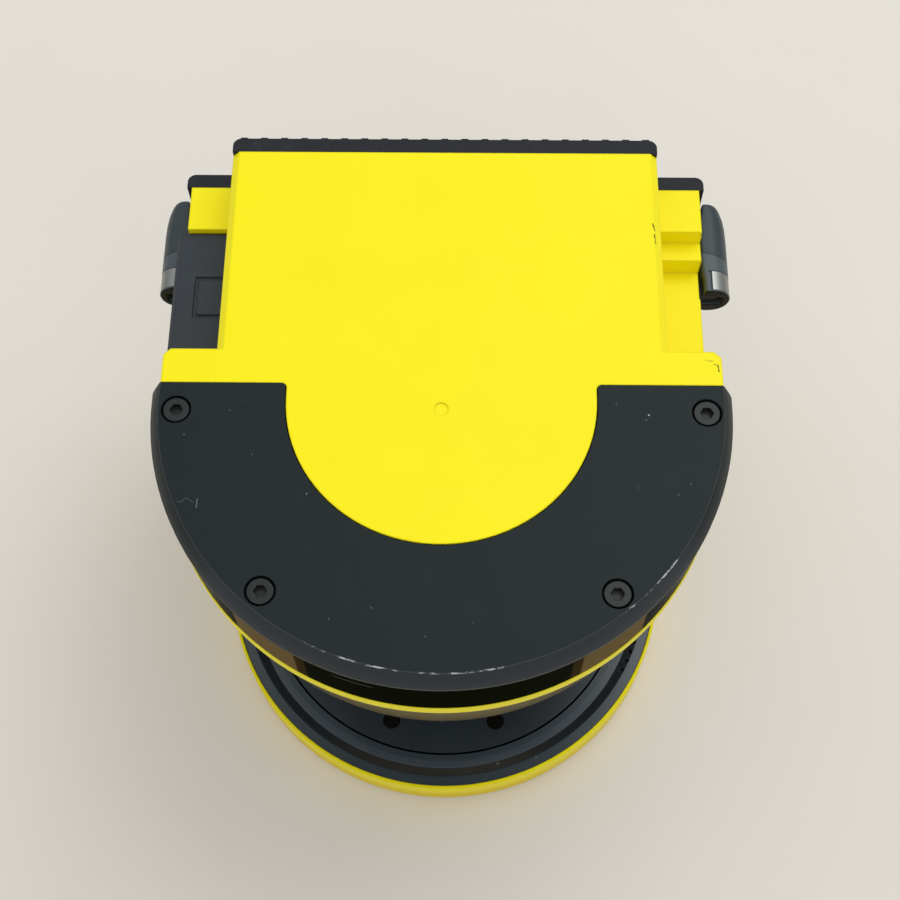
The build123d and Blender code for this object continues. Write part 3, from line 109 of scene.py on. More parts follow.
class Finish:
    """A procedural material on Object coordinates, in millimetres."""

    def __init__(self, name):
        self.material = bpy.data.materials.new(name)
        self.material.use_nodes = True
        self.tree = self.material.node_tree
        self.tree.nodes.clear()
        place = self.node("ShaderNodeTexCoord").outputs["Object"]
        self.point = self.vector_math("SCALE", place, Scale=1.0 / mm)
        split = self.node("ShaderNodeSeparateXYZ", {}, {"Vector": self.point})
        self.x, self.y, self.z = [Signal(self, out) for out in split.outputs]

    def node(self, kind, settings=None, inputs=None):
        """Adds a node: its settings first, then the values or links of its inputs."""
        node = self.tree.nodes.new(kind)
        for name, value in (settings or {}).items():
            setattr(node, name, value)
        for name, value in (inputs or {}).items():
            socket = node.inputs[name]
            if isinstance(value, Signal):
                value = value.socket
            if isinstance(value, bpy.types.NodeSocket):
                self.tree.links.new(value, socket)
            elif isinstance(value, (tuple, list)) and socket.type == "RGBA":
                socket.default_value = (*value[:3], 1.0)
            else:
                socket.default_value = value
        return node

    def vector_math(self, operation, first, second=None, **inputs):
        links = {0: first}
        if second is not None:
            links[1] = second
        links.update(inputs)
        return self.node("ShaderNodeVectorMath", {"operation": operation}, links).outputs[0]

    def stretched(self, scale):
        """The point with each axis scaled by its own factor."""
        return self.vector_math("MULTIPLY", self.point, scale)

    def noise(self, size, detail=2.0, roughness=0.5, vector=None):
        """Cloudy noise from 0 to 1 whose lumps are about size millimetres wide."""
        node = self.node(
            "ShaderNodeTexNoise",
            {},
            {
                "Vector": self.point if vector is None else vector,
                "Scale": 1.0 / size,
                "Detail": detail,
                "Roughness": roughness,
            },
        )
        return Signal(self, node.outputs["Fac"])

    def specks(self, size, share, core=0.05, rim=0.12):
        """Small dots, about one in each cell of this size, in the given share of cells.

        A dot is full up to the radius core and gone at the radius rim, in parts of a cell.
        """
        node = self.node(
            "ShaderNodeTexVoronoi", {"feature": "F1"}, {"Vector": self.point, "Scale": 1.0 / size}
        )
        pick = self.node("ShaderNodeSeparateColor", {}, {"Color": node.outputs["Color"]})
        near = 1.0 - Signal(self, node.outputs["Distance"]).rise(core, rim)
        chosen = Signal(self, pick.outputs[0]).rise(1.0 - share, 1.0 - share + 0.01)
        return near * chosen

    def dot(self, x, y, radius, soft=0.12):
        """1 inside a small round spot at this place, seen from above."""
        away = ((self.x - x) ** 2.0 + (self.y - y) ** 2.0) ** 0.5
        return 1.0 - away.rise(radius, radius + soft)

    def stroke(self, points, width, soft=0.10):
        """1 within this width of a line through these points, seen from above."""
        line = None
        for (ax, ay), (bx, by) in zip(points, points[1:]):
            dx, dy = bx - ax, by - ay
            share = ((self.x - ax) * dx + (self.y - ay) * dy) / (dx * dx + dy * dy)
            share = share.larger(0.0).smaller(1.0)
            away = self.x - ax - share * dx
            side = self.y - ay - share * dy
            near = 1.0 - ((away * away + side * side) ** 0.5).rise(width, width + soft)
            line = near if line is None else line.larger(near)
        return line

    def polar(self):
        """Radius and angle from the front, in degrees, of the point."""
        radius = (self.x * self.x + self.y * self.y) ** 0.5
        angle = self.x.math("ARCTAN2", self.x, 0.0 - self.y) * math.degrees(1.0)
        return radius, angle

    def mix(self, factor, first, second):
        """Colour that goes from first to second with the factor."""
        node = self.node(
            "ShaderNodeMix", {"data_type": "RGBA"}, {"Factor": factor, 6: first, 7: second}
        )
        return node.outputs[2]

    def surface(self, color, roughness, bump=None, depth=0.02, edge=0.0, **constants):
        """Principled surface; bump is a height from 0 to 1, depth its size and edge a rounding."""
        inputs = {"Base Color": color, "Roughness": roughness}
        inputs.update({name.replace("_", " "): value for name, value in constants.items()})
        normal = None
        if edge:
            rounded = self.node("ShaderNodeBevel", {"samples": 6}, {"Radius": edge * mm})
            normal = rounded.outputs[0]
        if bump is not None:
            links = {"Height": bump, "Distance": depth * mm, "Strength": 1.0}
            if normal is not None:
                links["Normal"] = normal
            normal = self.node("ShaderNodeBump", {}, links).outputs[0]
        if normal is not None:
            inputs["Normal"] = normal
        shader = self.node("ShaderNodeBsdfPrincipled", {}, inputs)
        self.node("ShaderNodeOutputMaterial", {}, {"Surface": shader.outputs[0]})
        return self.material


def dress(material, *names):
    """Gives CAD nodes this material in their objects' slots."""
    for name in names:
        piece = nodes[name]
        if not piece.data.materials:
            piece.data.materials.append(material)
        for slot in piece.material_slots:
            slot.link = "OBJECT"
            slot.material = material


YELLOWS = ((0.91, 0.785, 0.002), (0.96, 0.835, 0.004))
GRIMY_YELLOW = (0.60, 0.50, 0.01)
FLOOR_SHADE_AND_BOUNCE_YELLOW = (0.74, 0.50, 0.002)
MARK_BLACK = (0.035, 0.030, 0.018)
HINGE_SHADE_BLACK = (0.008, 0.008, 0.008)
HINGE_WALL = (61.22, 61.30)
HINGE_HEIGHT = (85.0, 98.6)
HINGE_FRONT = (38.0, 39.0)
FLOOR_SHADE_FADE = (3.0, 9.0)


def yellow_finish(name, marks, edge):
    """Yellow moulding: satin, a little cloudy, with the dark marks that the function adds.

    Close to the floor it is darker and more orange: painted shade and painted warm floor light.
    Behind a lever's hinge it is black: painted shade.
    """
    finish = Finish(name)
    cloud = finish.noise(18.0, 3.0)
    fine = finish.noise(0.35, 2.0)
    color = finish.mix(cloud, *YELLOWS)
    grime = finish.noise(2.4, 4.0, 0.65).rise(0.62, 0.80) * 0.10
    color = finish.mix(grime, color, GRIMY_YELLOW)
    color = finish.mix(marks(finish), color, MARK_BLACK)
    # Painted shade and painted warm floor light: darker and more orange towards the floor.
    low = 1.0 - finish.z.rise(*FLOOR_SHADE_FADE)
    color = finish.mix(low * 0.6, color, FLOOR_SHADE_AND_BOUNCE_YELLOW)
    # Painted shade: black on the wall behind each lever's hinge.
    hinge = abs(finish.x).rise(*HINGE_WALL) * finish.z.within(*HINGE_HEIGHT, 0.2)
    color = finish.mix(hinge * finish.y.rise(*HINGE_FRONT), color, HINGE_SHADE_BLACK)
    roughness = 0.40 + 0.08 * cloud
    return finish.surface(color, roughness, fine, 0.006, edge, Specular_IOR_Level=0.18)


def few_marks(finish):
    """Very small dark specks that lie far apart."""
    return finish.specks(9.0, 0.06) * 0.5


dress(yellow_finish("cap_yellow", few_marks, 0.5), "base_cap")

# Dark ring and disc in the cap.
# Both are moulded in blue-grey plastic; the disc carries the window and has round ports
# with dark lenses, which look for dirt on the window.
DUST_GREY = (0.22, 0.23, 0.24)
SPECK_GREY = (0.40, 0.42, 0.44)


def dark_finish(name, color, spread=0.15, roughness=0.42, edge=0.25, dust=0.06, gloss=0.4):
    """Dark satin moulding: fine grain, light dust and a faint change of tone."""
    finish = Finish(name)
    cloud = finish.noise(14.0, 3.0)
    fine = finish.noise(0.28, 2.0)
    low = tuple(value * (1.0 - spread) for value in color)
    high = tuple(value * (1.0 + spread) for value in color)
    shade = finish.mix(cloud, low, high)
    film = finish.noise(5.0, 5.0, 0.7).rise(0.50, 0.85) * dust
    shade = finish.mix(film, shade, DUST_GREY)
    specks = finish.specks(5.0, 0.10)
    shade = finish.mix(specks * 0.3, shade, SPECK_GREY)
    rough = roughness + 0.10 * cloud
    return finish.surface(shade, rough, fine, 0.006, edge, Specular_IOR_Level=gloss)


# Parts of the ring by radius: from, to and the width over which each fades.
DISC_GAP_SHADE = (49.62, 50.10, 0.05)
INNER_LAND_HIGHLIGHT = (52.2, 53.3, 0.9)
RING_HIGHLIGHT_LINE = (53.40, 53.55, 0.2)
RING_SLOPE = (54.2, 55.5, 0.6)


def ring_finish(name, low, high):
    """Semi-gloss blue-grey moulding with painted light: a painted highlight on the inner land
    towards the front and a thin one at its edge, painted shade on the slope with a brownish
    painted reflection at its front, and painted shade, black, in the gap at the disc.

    The gap is a black metal, because a metal of no colour reflects nothing.
    """
    finish = Finish(name)
    radius, angle = finish.polar()
    cloud = finish.noise(14.0, 3.0)
    color = finish.mix(cloud, low, high)
    # Painted highlight: the inner land is lighter towards the front.
    land = radius.within(*INNER_LAND_HIGHLIGHT) * abs(angle).within(0.0, 55.0, 25.0)
    color = finish.mix(land * 0.4, color, (0.070, 0.085, 0.105))
    # Painted shade: the slope is darkened.
    slope = radius.within(*RING_SLOPE)
    color = finish.mix(slope * 0.6, color, (0.006, 0.007, 0.010))
    # Painted reflection: the slope turns brownish towards the front.
    front = slope * abs(angle).within(0.0, 12.0, 30.0) * (0.4 + 0.6 * cloud)
    color = finish.mix(front, color, (0.060, 0.052, 0.040))
    # Painted highlight: a thin light line at the outer edge of the inner land.
    line = radius.within(*RING_HIGHLIGHT_LINE) * 0.3
    color = finish.mix(line, color, (0.085, 0.105, 0.135))
    # Painted shade: the gap at the disc is black.
    gap = radius.within(*DISC_GAP_SHADE)
    color = finish.mix(gap, color, (0.0, 0.0, 0.0))
    specks = finish.specks(5.0, 0.10)
    color = finish.mix(specks * 0.25, color, SPECK_GREY)
    rough = 0.26 + 0.10 * cloud + 0.4 * gap
    return finish.surface(
        color, rough, finish.noise(0.28), 0.004, 0.2, Metallic=gap, Specular_IOR_Level=0.8
    )


dress(ring_finish("ring_grey", (0.016, 0.030, 0.040), (0.022, 0.038, 0.052)), "cap_ring")
# The disc has the ring's plastic in darker colours: painted shade under the head.
dress(ring_finish("disc_grey", (0.009, 0.018, 0.026), (0.013, 0.024, 0.035)), "sensor_disc")


def smoked_finish(name, color, roughness=0.07, gloss=0.3):
    """Polished dark plastic that lets no light through."""
    finish = Finish(name)
    haze = finish.noise(9.0, 4.0)
    shade = finish.mix(haze, color, tuple(value * 1.3 for value in color))
    rough = roughness + 0.05 * finish.noise(1.5, 5.0, 0.7).rise(0.55, 0.8)
    return finish.surface(shade, rough, haze, 0.002, 0.2, IOR=1.58, Specular_IOR_Level=gloss)


dress(smoked_finish("port_lens", (0.002, 0.002, 0.002), 0.12), "soiling_sensors")

# Circuit boards: a ring under the disc, and in the head those of the laser, the detector and
# the cameras and the two large ones. They are glass-fibre sheets, etched and lacquered green.


def board_finish():
    """Green circuit board with copper tracks under the lacquer and pale pads."""
    finish = Finish("circuit_green")
    tracks = finish.node(
        "ShaderNodeTexBrick",
        {"offset": 0.5, "squash": 0.7},
        {
            "Vector": finish.stretched((0.5, 0.0, 0.5)),
            "Color1": (0.0, 0.0, 0.0),
            "Color2": (0.4, 0.4, 0.4),
            "Mortar": (1.0, 1.0, 1.0),
            "Scale": 1.0,
            "Mortar Size": 0.05,
        },
    )
    lines = finish.node("ShaderNodeSeparateColor", {}, {"Color": tracks.outputs["Color"]})
    track = Signal(finish, lines.outputs[0])
    color = finish.mix(track, (0.010, 0.090, 0.035), (0.030, 0.200, 0.080))
    pads = finish.specks(4.0, 0.5)
    color = finish.mix(pads, color, (0.75, 0.72, 0.62))
    return finish.surface(color, 0.30 + 0.1 * track, track, 0.02, 0.0, IOR=1.5)


circuit_green = board_finish()
dress(
    circuit_green,
    "sensor_ring_board",
    "laser_driver_board",
    "detector_board",
    "left_camera_board",
    "right_camera_board",
    "main_board",
    "power_board",
)

# Motor under the mirror: an aluminium spindle housing with two ball bearings, a star of
# steel sheets with copper coils, and round it the steel bell with its magnets.
# The housing's flange is screwed to the floor of the cap.


def metal_finish(name, color, roughness, grain=(1.0, 1.0, 1.0), edge=0.15, metallic=1.0):
    """Machined or pressed metal, brushed across the axis that has the largest grain."""
    finish = Finish(name)
    brushed = finish.noise(0.5, 4.0, 0.7, finish.stretched(grain))
    stain = finish.noise(6.0, 3.0)
    shade = finish.mix(stain, tuple(value * 0.86 for value in color), color)
    rough = roughness + 0.12 * (brushed - 0.5) + 0.06 * stain
    return finish.surface(shade, rough, brushed, 0.004, edge, Metallic=metallic)


dress(metal_finish("turned_aluminium", (0.78, 0.79, 0.81), 0.30, (0.2, 0.2, 2.0)),
      "spindle_housing", "mirror_carrier", "laser_module", "detector")
dress(metal_finish("bearing_steel", (0.66, 0.67, 0.69), 0.14), "lower_bearing",
      "upper_bearing", "bearing_spacer", "rotor_shaft")
dress(metal_finish("sheet_steel", (0.44, 0.45, 0.47), 0.34, (1.0, 1.0, 6.0)),
      "motor_stator", "rotor_bell", "encoder_disc")
dress(metal_finish("magnet_grey", (0.10, 0.10, 0.11), 0.50), "rotor_magnets")


def winding_finish():
    """Enamelled copper wire, seen as fine turns up the coil."""
    finish = Finish("copper_winding")
    turns = (finish.z * 14.0).sine() * 0.5 + 0.5
    tone = finish.noise(0.8, 2.0)
    color = finish.mix(tone, (0.42, 0.13, 0.04), (0.62, 0.22, 0.07))
    return finish.surface(color, 0.26 + 0.1 * tone, turns, 0.06, 0.3, Metallic=0.9)


dress(winding_finish(), "motor_coils")

# Fasteners: zinc-plated steel screws inside and at the rear, blackened socket screws in the
# cap and the cover plate, and turned brass spacers between the two large boards.
# The service socket's pins are brass too.
zinc_steel = metal_finish("zinc_steel", (0.60, 0.61, 0.63), 0.32, (1.0, 1.0, 0.3))
dress(zinc_steel, "heat_sink_screws", "column_screws", "motor_screws", "carrier_screws",
      "board_screws")
black_steel = dark_finish(
    "black_steel", (0.012, 0.013, 0.014), spread=0.3, roughness=0.34, edge=0.3, dust=0.03, gloss=0.3
)
dress(black_steel, "cap_screws", "cover_screws")
dress(metal_finish("spacer_brass", (0.70, 0.50, 0.20), 0.28), "board_spacers", "connector_pins")

# Scan mirror: a coated glass oval on the sloping face of the turned aluminium carrier.
# The carrier is fixed on the motor's shaft and turns with it.
mirror_coat = Finish("mirror_coat")
mirror_haze = mirror_coat.noise(4.0, 4.0).rise(0.6, 0.8)
dress(
    mirror_coat.surface((0.93, 0.94, 0.95), 0.02 + 0.02 * mirror_haze, Metallic=1.0),
    "scan_mirror",
)

# Scan window: a cone of smoked plastic that only infrared light passes. It stands in a groove
# of the disc between two rubber seals, and its ends are glued to the block behind it.
# The column behind it is moulded in black plastic, as are the encoder's sensor and the socket.
# The window's brown is the smoked plastic's own tint together with a painted reflection of a warm
# floor, with its gloss turned low.
dress(smoked_finish("window_smoke", (0.085, 0.054, 0.012), 0.14, 0.08), "front_window")
rubber = dark_finish("seal_rubber", (0.015, 0.015, 0.016), roughness=0.6, dust=0.03)
dress(rubber, "window_seal_lower", "window_seal_upper", "plate_gasket")
dress(dark_finish("column_black", (0.020, 0.022, 0.025)), "neck_column", "encoder_sensor",
      "service_connector")

# Head housing: one yellow moulding with a lip round the front, a round nose between the
# arms of the cover plate, a square block and stepped recesses at both sides.
EDGE_UPPER = ((47.15, 44.45), (47.56, 42.67))
EDGE_LOWER = ((47.41, 41.51), (47.59, 39.13))
SHOULDER_TOP = ((56.86, 9.74), (58.58, 9.34))
SHOULDER_HOOK = ((58.77, 8.63), (59.52, 8.49), (59.65, 6.96))
HEAD_TOP = (121.6, 122.2)
SIDE_WALL, LUG_FACE, LUG_REACH, POCKET_FLOOR = 61.2, 59.6, 60.85, 61.0
HOLLOW_SHARE = 0.15
HOLLOW_BOX = ((59.5, 43.9, 89.0), (61.19, 70.0, 109.0))
POCKET_BOX = ((59.9, 39.2, 89.0), (61.1, 46.8, 98.8))


def head_marks(finish):
    """Black rubs at the right edge of the block and on the right shoulder, on top only."""
    grain = 0.35 + 0.65 * finish.noise(0.8, 3.0, 0.6).rise(0.35, 0.55)
    edge = finish.stroke(EDGE_UPPER, 0.10).larger(finish.stroke(EDGE_LOWER, 0.10))
    shoulder = finish.stroke(SHOULDER_TOP, 0.08) * 0.6
    shoulder = shoulder.larger(finish.stroke(SHOULDER_HOOK, 0.10))
    return edge.larger(shoulder) * grain * finish.z.rise(*HEAD_TOP)


def reshape(name, body, material, move):
    """Replaces a CAD node by a merged copy of its mesh whose points the function moves."""
    mesh = nodes[name].data.copy()
    merged = bmesh.new()
    merged.from_mesh(mesh)
    bmesh.ops.remove_doubles(merged, verts=merged.verts, dist=1e-6)
    merged.to_mesh(mesh)
    merged.free()
    points = np.empty(3 * len(mesh.vertices))
    mesh.vertices.foreach_get("co", points)
    points = move(points.reshape(-1, 3) / mm) * mm
    mesh.vertices.foreach_set("co", points.ravel())
    mesh.update()
    mesh.materials.clear()
    mesh.materials.append(material)
    piece = bpy.data.objects.new(name + "_shape", mesh)
    bpy.context.scene.collection.objects.link(piece)
    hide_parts(name)
    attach(piece, body)


def in_box(points, box):
    """True for each point that lies between the low and the high corner of the box."""
    low, high = box
    return ((points > low) & (points < high)).all(axis=1)


def head_form(points):
    """The lugs reach out to the side walls, and the hollows at the levers are shallow.

    On both sides, a hollow's depth below the side wall is multiplied by HOLLOW_SHARE, the face
    of a lug goes to LUG_REACH, and what is left of the pocket at the hinge to POCKET_FLOOR.
    """
    x, y, z = points.T
    side = np.abs(x)
    hollow = in_box(np.column_stack((side, y, z)), HOLLOW_BOX)
    lug = hollow & (np.abs(side - LUG_FACE) < 0.05)
    side = np.where(hollow, SIDE_WALL - HOLLOW_SHARE * (SIDE_WALL - side), side)
    side = np.where(lug, LUG_REACH, side)
    pocket = in_box(np.column_stack((side, y, z)), POCKET_BOX)
    side = np.where(pocket, POCKET_FLOOR, side)
    return np.column_stack((np.sign(x) * side, y, z))


head_yellow = yellow_finish("head_yellow", head_marks, 0.7)
reshape("head_housing", "scanner", head_yellow, head_form)

# Optics in the head: a black anodised aluminium funnel, screwed on by its flange, that holds
# a ground glass lens for the light that comes back and the laser in the lens's bore.
dress(metal_finish("black_anodised", (0.020, 0.020, 0.022), 0.45, metallic=0.6), "optics_carrier")
lens_glass = Finish("lens_glass")
lens_haze = 0.01 + 0.02 * lens_glass.noise(6.0, 3.0)
dress(
    lens_glass.surface((0.90, 0.95, 0.97), lens_haze, Transmission_Weight=0.95, IOR=1.52),
    "receiver_lens", "collimator_lens",
)

# Cameras, processor and other parts of the boards, moulded in black plastic and soldered on,
# and the soft pad that carries the processor's heat to the casting.
chip_black = dark_finish("chip_black", (0.018, 0.018, 0.020), roughness=0.38, dust=0.04)
dress(chip_black, "left_camera", "right_camera", "processor", "power_components")
dress(dark_finish("heat_pad", (0.20, 0.26, 0.36), roughness=0.7), "thermal_pad")

# Glossy band of smoked plastic round the front: black in front of the housing's wall and
# brown where light comes through in front of each camera's opening.
# The band's black has an olive tint: a painted reflection of the yellow lip below it.
BAND_BLACK_AND_LIP_REFLECTION = (0.0030, 0.0042, 0.0004)
BAND_DUSK = (0.036, 0.022, 0.006)
BAND_BROWN = (0.150, 0.102, 0.038)
DUSK_ANGLES = (26.6, 29.2, 0.4)
BROWN_ANGLES = (29.0, 43.5, 0.7)
SCRATCH_ANGLES = (-20.0, -13.0, 1.0)
SCRATCH_HEIGHT = (113.1, 113.3, 0.1)


def band_finish():
    """Smoked gloss with a brown zone on both sides, a dusky strip inside it and a scratch.

    The camera sees the band almost edge on, where the usual specular level would mirror the
    floor and hide its colour.
    """
    finish = Finish("band_gloss")
    angle = finish.polar()[1]
    side = abs(angle)
    color = finish.mix(side.within(*DUSK_ANGLES), BAND_BLACK_AND_LIP_REFLECTION, BAND_DUSK)
    color = finish.mix(side.within(*BROWN_ANGLES), color, BAND_BROWN)
    scratch = angle.within(*SCRATCH_ANGLES) * finish.z.within(*SCRATCH_HEIGHT)
    color = finish.mix(scratch * 0.2, color, (0.5, 0.5, 0.45))
    rough = 0.10 + 0.05 * finish.noise(2.0, 5.0, 0.7).rise(0.5, 0.8)
    return finish.surface(color, rough, finish.noise(8.0), 0.004, 0.2, Specular_IOR_Level=0.0003)


dress(band_finish(), "camera_band")

# Cover plate: half-round, moulded in satin blue-black plastic and held by four screws.
# Its front top edge is scratched white, and light dust lies on it.
# A dot has its place from above, its radius and its strength.
PLATE_DOTS = (
    (44.1, -3.6, 0.14, 0.9), (37.3, -1.1, 0.12, 0.2), (43.5, -4.8, 0.12, 0.2),
    (52.2, -19.5, 0.14, 0.15), (49.4, -21.9, 0.12, 0.2), (-45.0, -3.1, 0.14, 0.12),
    (-54.3, -8.9, 0.12, 0.2), (-39.6, -13.4, 0.14, 0.12), (-27.7, -22.3, 0.12, 0.4),
    (-21.9, -49.4, 0.12, 0.2), (-2.6, -52.9, 0.15, 0.12),
    (6.8, -50.2, 0.12, 0.10), (-13.5, -47.0, 0.14, 0.15),
)
PLATE_HOOK = ((-54.5, -24.3), (-53.6, -24.3), (-52.7, -23.4), (-51.0, -24.4))
PLATE_TICK = ((-50.3, -23.6), (-50.4, -25.6))
PLATE_GREYS = ((0.0050, 0.0100, 0.0105), (0.0075, 0.0135, 0.0145))
WORN_AND_HIGHLIGHT_GREY = (0.48, 0.50, 0.53)
BEVEL_RADIUS, BEVEL_HEIGHT, BEVEL_HIGHLIGHT_ANGLES = (60.45, 60.6), (119.6, 119.9), (-45.0, 50.0, 16.0)
EDGE_TOP, EDGE_WORN, EDGE_HIGHLIGHT_LINE = (122.9, 123.1), (60.36, 60.58, 0.07), (60.40, 60.50, 0.06)
CORNER_SIDE, CORNER_FRONT, CORNER_REAR, CORNER_SHARE = 59.0, 0.55, 3.55, 0.47


def plate_finish():
    """Satin blue-black: a painted highlight on the bevel, dust, dots, two thin scratches, the worn
    edge and a faint painted highlight along the top edge.
    """
    finish = Finish("plate_satin")
    radius, angle = finish.polar()
    cloud = finish.noise(22.0, 3.0)
    fine = finish.noise(0.30, 2.0)
    color = finish.mix(cloud, *PLATE_GREYS)
    # Painted highlight: the bevel is lighter round the front.
    bevel = radius.rise(*BEVEL_RADIUS) * finish.z.rise(*BEVEL_HEIGHT)
    bevel = bevel * angle.within(*BEVEL_HIGHLIGHT_ANGLES)
    color = finish.mix(bevel, color, (0.025, 0.031, 0.037))
    film = finish.noise(7.0, 5.0, 0.7).rise(0.52, 0.9) * 0.02
    color = finish.mix(film, color, (0.20, 0.21, 0.22))
    specks = finish.specks(7.0, 0.12)
    color = finish.mix(specks * 0.10, color, SPECK_GREY)
    for x, y, size, strength in PLATE_DOTS:
        color = finish.mix(finish.dot(x, y, size) * strength, color, (0.40, 0.42, 0.43))
    along = finish.node(
        "ShaderNodeCombineXYZ", {}, {"X": radius * 0.8, "Y": angle * 0.35, "Z": finish.z * 0.5}
    ).outputs[0]
    broken = finish.noise(1.0, 5.0, 0.75, along)
    edge = radius.within(*EDGE_WORN) * finish.z.rise(*EDGE_TOP)
    front = broken.rise(0.48, 0.60) * angle.within(-25.0, 13.0, 3.0)
    right = broken.rise(0.50, 0.62) * angle.within(40.0, 60.0, 4.0)
    worn = edge * (front + right).smaller(1.0)
    # Painted highlight: a faint light line all round the top edge, drawn in with the worn edge.
    line = radius.within(*EDGE_HIGHLIGHT_LINE) * finish.z.rise(*EDGE_TOP) * 0.08
    color = finish.mix(worn.larger(line), color, WORN_AND_HIGHLIGHT_GREY)
    hook = finish.stroke(PLATE_HOOK, 0.03) * 0.15 + finish.stroke(PLATE_TICK, 0.03) * 0.45
    color = finish.mix(hook, color, (0.35, 0.36, 0.38))
    rough = 0.46 + 0.08 * cloud
    return finish.surface(color, rough, fine, 0.005, 0.3, Specular_IOR_Level=0.20)


def plate_form(points):
    """The rear corners are short: wider across than they are deep.

    A corner point's distance from the rear edge is multiplied by CORNER_SHARE.
    """
    x, y, z = points.T
    corner = (np.abs(x) > CORNER_SIDE) & (y > CORNER_FRONT)
    short = CORNER_REAR - CORNER_SHARE * (CORNER_REAR - y)
    return np.column_stack((x, np.where(corner, short, y), z))


reshape("cover_plate", "scanner", plate_finish(), plate_form)

# Rear casting: black anodised aluminium with cooling fins and a wing on each side.
# It closes the head at the rear and is screwed to it.
WING_START, WING_SHIFT = 57.5, 0.8


def casting_form(points):
    """The wings, all that is further out than WING_START, reach out by WING_SHIFT more."""
    x, y, z = points.T
    wide = np.where(np.abs(x) > WING_START, x + WING_SHIFT * np.sign(x), x)
    return np.column_stack((wide, y, z))


cast_black = dark_finish("cast_black", (0.009, 0.010, 0.014), roughness=0.50, gloss=0.25)
reshape("rear_heat_sink", "scanner", cast_black, casting_form)

# Side levers of blue-grey plastic, D-shaped across, that swing on pins near the front end.
# Each is moulded in two parts that meet on a fine line, with a steel band round the front.
# A station of the path has its place along Y and the inner and outer distance from the middle.
LEVER_PATH = (
    (40.9, 62.3, 68.9), (44.0, 62.3, 68.9), (48.0, 61.7, 68.9), (53.0, 61.6, 68.9),
    (57.0, 61.65, 68.9), (60.0, 61.9, 68.8), (62.5, 62.25, 68.5), (64.3, 62.6, 68.0),
    (65.6, 62.9, 67.4), (66.3, 63.1, 66.9),
)
LEVER_PIVOT, LEVER_MIDDLE, LEVER_HALF = 64.2, 95.3, 4.68
FRONT_ROUND, FRONT_SHARE, TAIL_ROUND, CORNER_POWER = 0.35, 0.94, 1.2, 0.28
SLOT_INNER, SLOT_OUTER, SLOT_FRONT, SLOT_REAR = 60.0, 67.2, 40.0, 46.1
SLOT_LOW, SLOT_HIGH = 93.5, 97.1
GROOVE_FRONT, GROOVE_REAR, GROOVE_HALF, GROOVE_STEP = 41.3, 46.6, 4.15, 0.01


def lever_surface(side, rows=90, around=72, tail_rows=14):
    """Closed bar along Y: half a circle outwards and a box with round corners inwards.

    A row of points goes round the section: x = pivot + width cos and z = middle + height sin,
    where the inner half has both raised to CORNER_POWER, which squares it. The widths follow
    the path along Y. The groove of the steel band is a half circle of GROOVE_HALF, and the tail
    is rounded over TAIL_ROUND, where the section shrinks with the root of the cosine.
    """
    stations, inner, outer = np.array(LEVER_PATH).T
    front, rear = stations[0], stations[-1]
    ends = np.array([front, front, front + FRONT_ROUND])
    groove = np.array(
        [GROOVE_FRONT - GROOVE_STEP, GROOVE_FRONT, GROOVE_REAR, GROOVE_REAR + GROOVE_STEP]
    )
    turn = np.linspace(0, math.pi / 2, tail_rows)
    tail = rear - TAIL_ROUND + TAIL_ROUND * np.sin(turn)
    rest = np.linspace(front + FRONT_ROUND, rear - TAIL_ROUND, rows)
    along = np.concatenate((ends, np.sort(np.concatenate((rest[1:-1], groove))), tail))
    shrink = np.concatenate(
        ([0.0, FRONT_SHARE, 1.0], np.ones(len(along) - 3 - len(turn)), np.cos(turn) ** 0.5)
    )
    low = np.interp(along, stations, inner)
    high = np.interp(along, stations, outer)
    angle = np.linspace(0, 2 * math.pi, around, endpoint=False)
    cosine, sine = np.cos(angle), np.sin(angle)
    power = np.where(cosine > 0, 1.0, CORNER_POWER)
    across = np.sign(cosine) * np.abs(cosine) ** power
    tall = np.sign(sine) * np.abs(sine) ** power
    width = np.where(cosine > 0, (high - LEVER_PIVOT)[:, None], (LEVER_PIVOT - low)[:, None])
    height = np.full(len(along), LEVER_HALF)[:, None]
    sunk = ((along >= GROOVE_FRONT) & (along <= GROOVE_REAR))[:, None] & (cosine > 0)
    width = np.where(sunk, GROOVE_HALF, width)
    height = np.where(sunk, GROOVE_HALF, height)
    x = LEVER_PIVOT + width * across * shrink[:, None]
    z = LEVER_MIDDLE + height * tall * shrink[:, None]
    y = np.repeat(along[:, None], around, axis=1)
    points = np.stack((side * x, y, z), axis=-1).reshape(-1, 3) * mm
    row, column = np.meshgrid(np.arange(len(along) - 1), np.arange(around), indexing="ij")
    after = (column + 1) % around
    faces = np.stack(
        (row * around + column, (row + 1) * around + column,
         (row + 1) * around + after, row * around + after), axis=-1
    ).reshape(-1, 4)
    return points, faces if side > 0 else faces[:, ::-1]


def seal(mesh, sharp_angle=50.0):
    """Merges doubled points, turns the faces outwards and keeps edges over the angle sharp."""
    merged = bmesh.new()
    merged.from_mesh(mesh)
    bmesh.ops.remove_doubles(merged, verts=merged.verts, dist=2e-6)
    bmesh.ops.dissolve_degenerate(merged, edges=merged.edges, dist=1e-7)
    bmesh.ops.recalc_face_normals(merged, faces=merged.faces)
    merged.to_mesh(mesh)
    merged.free()
    mesh.polygons.foreach_set("use_smooth", [True] * len(mesh.polygons))
    mesh.set_sharp_from_angle(angle=math.radians(sharp_angle))
    mesh.update()


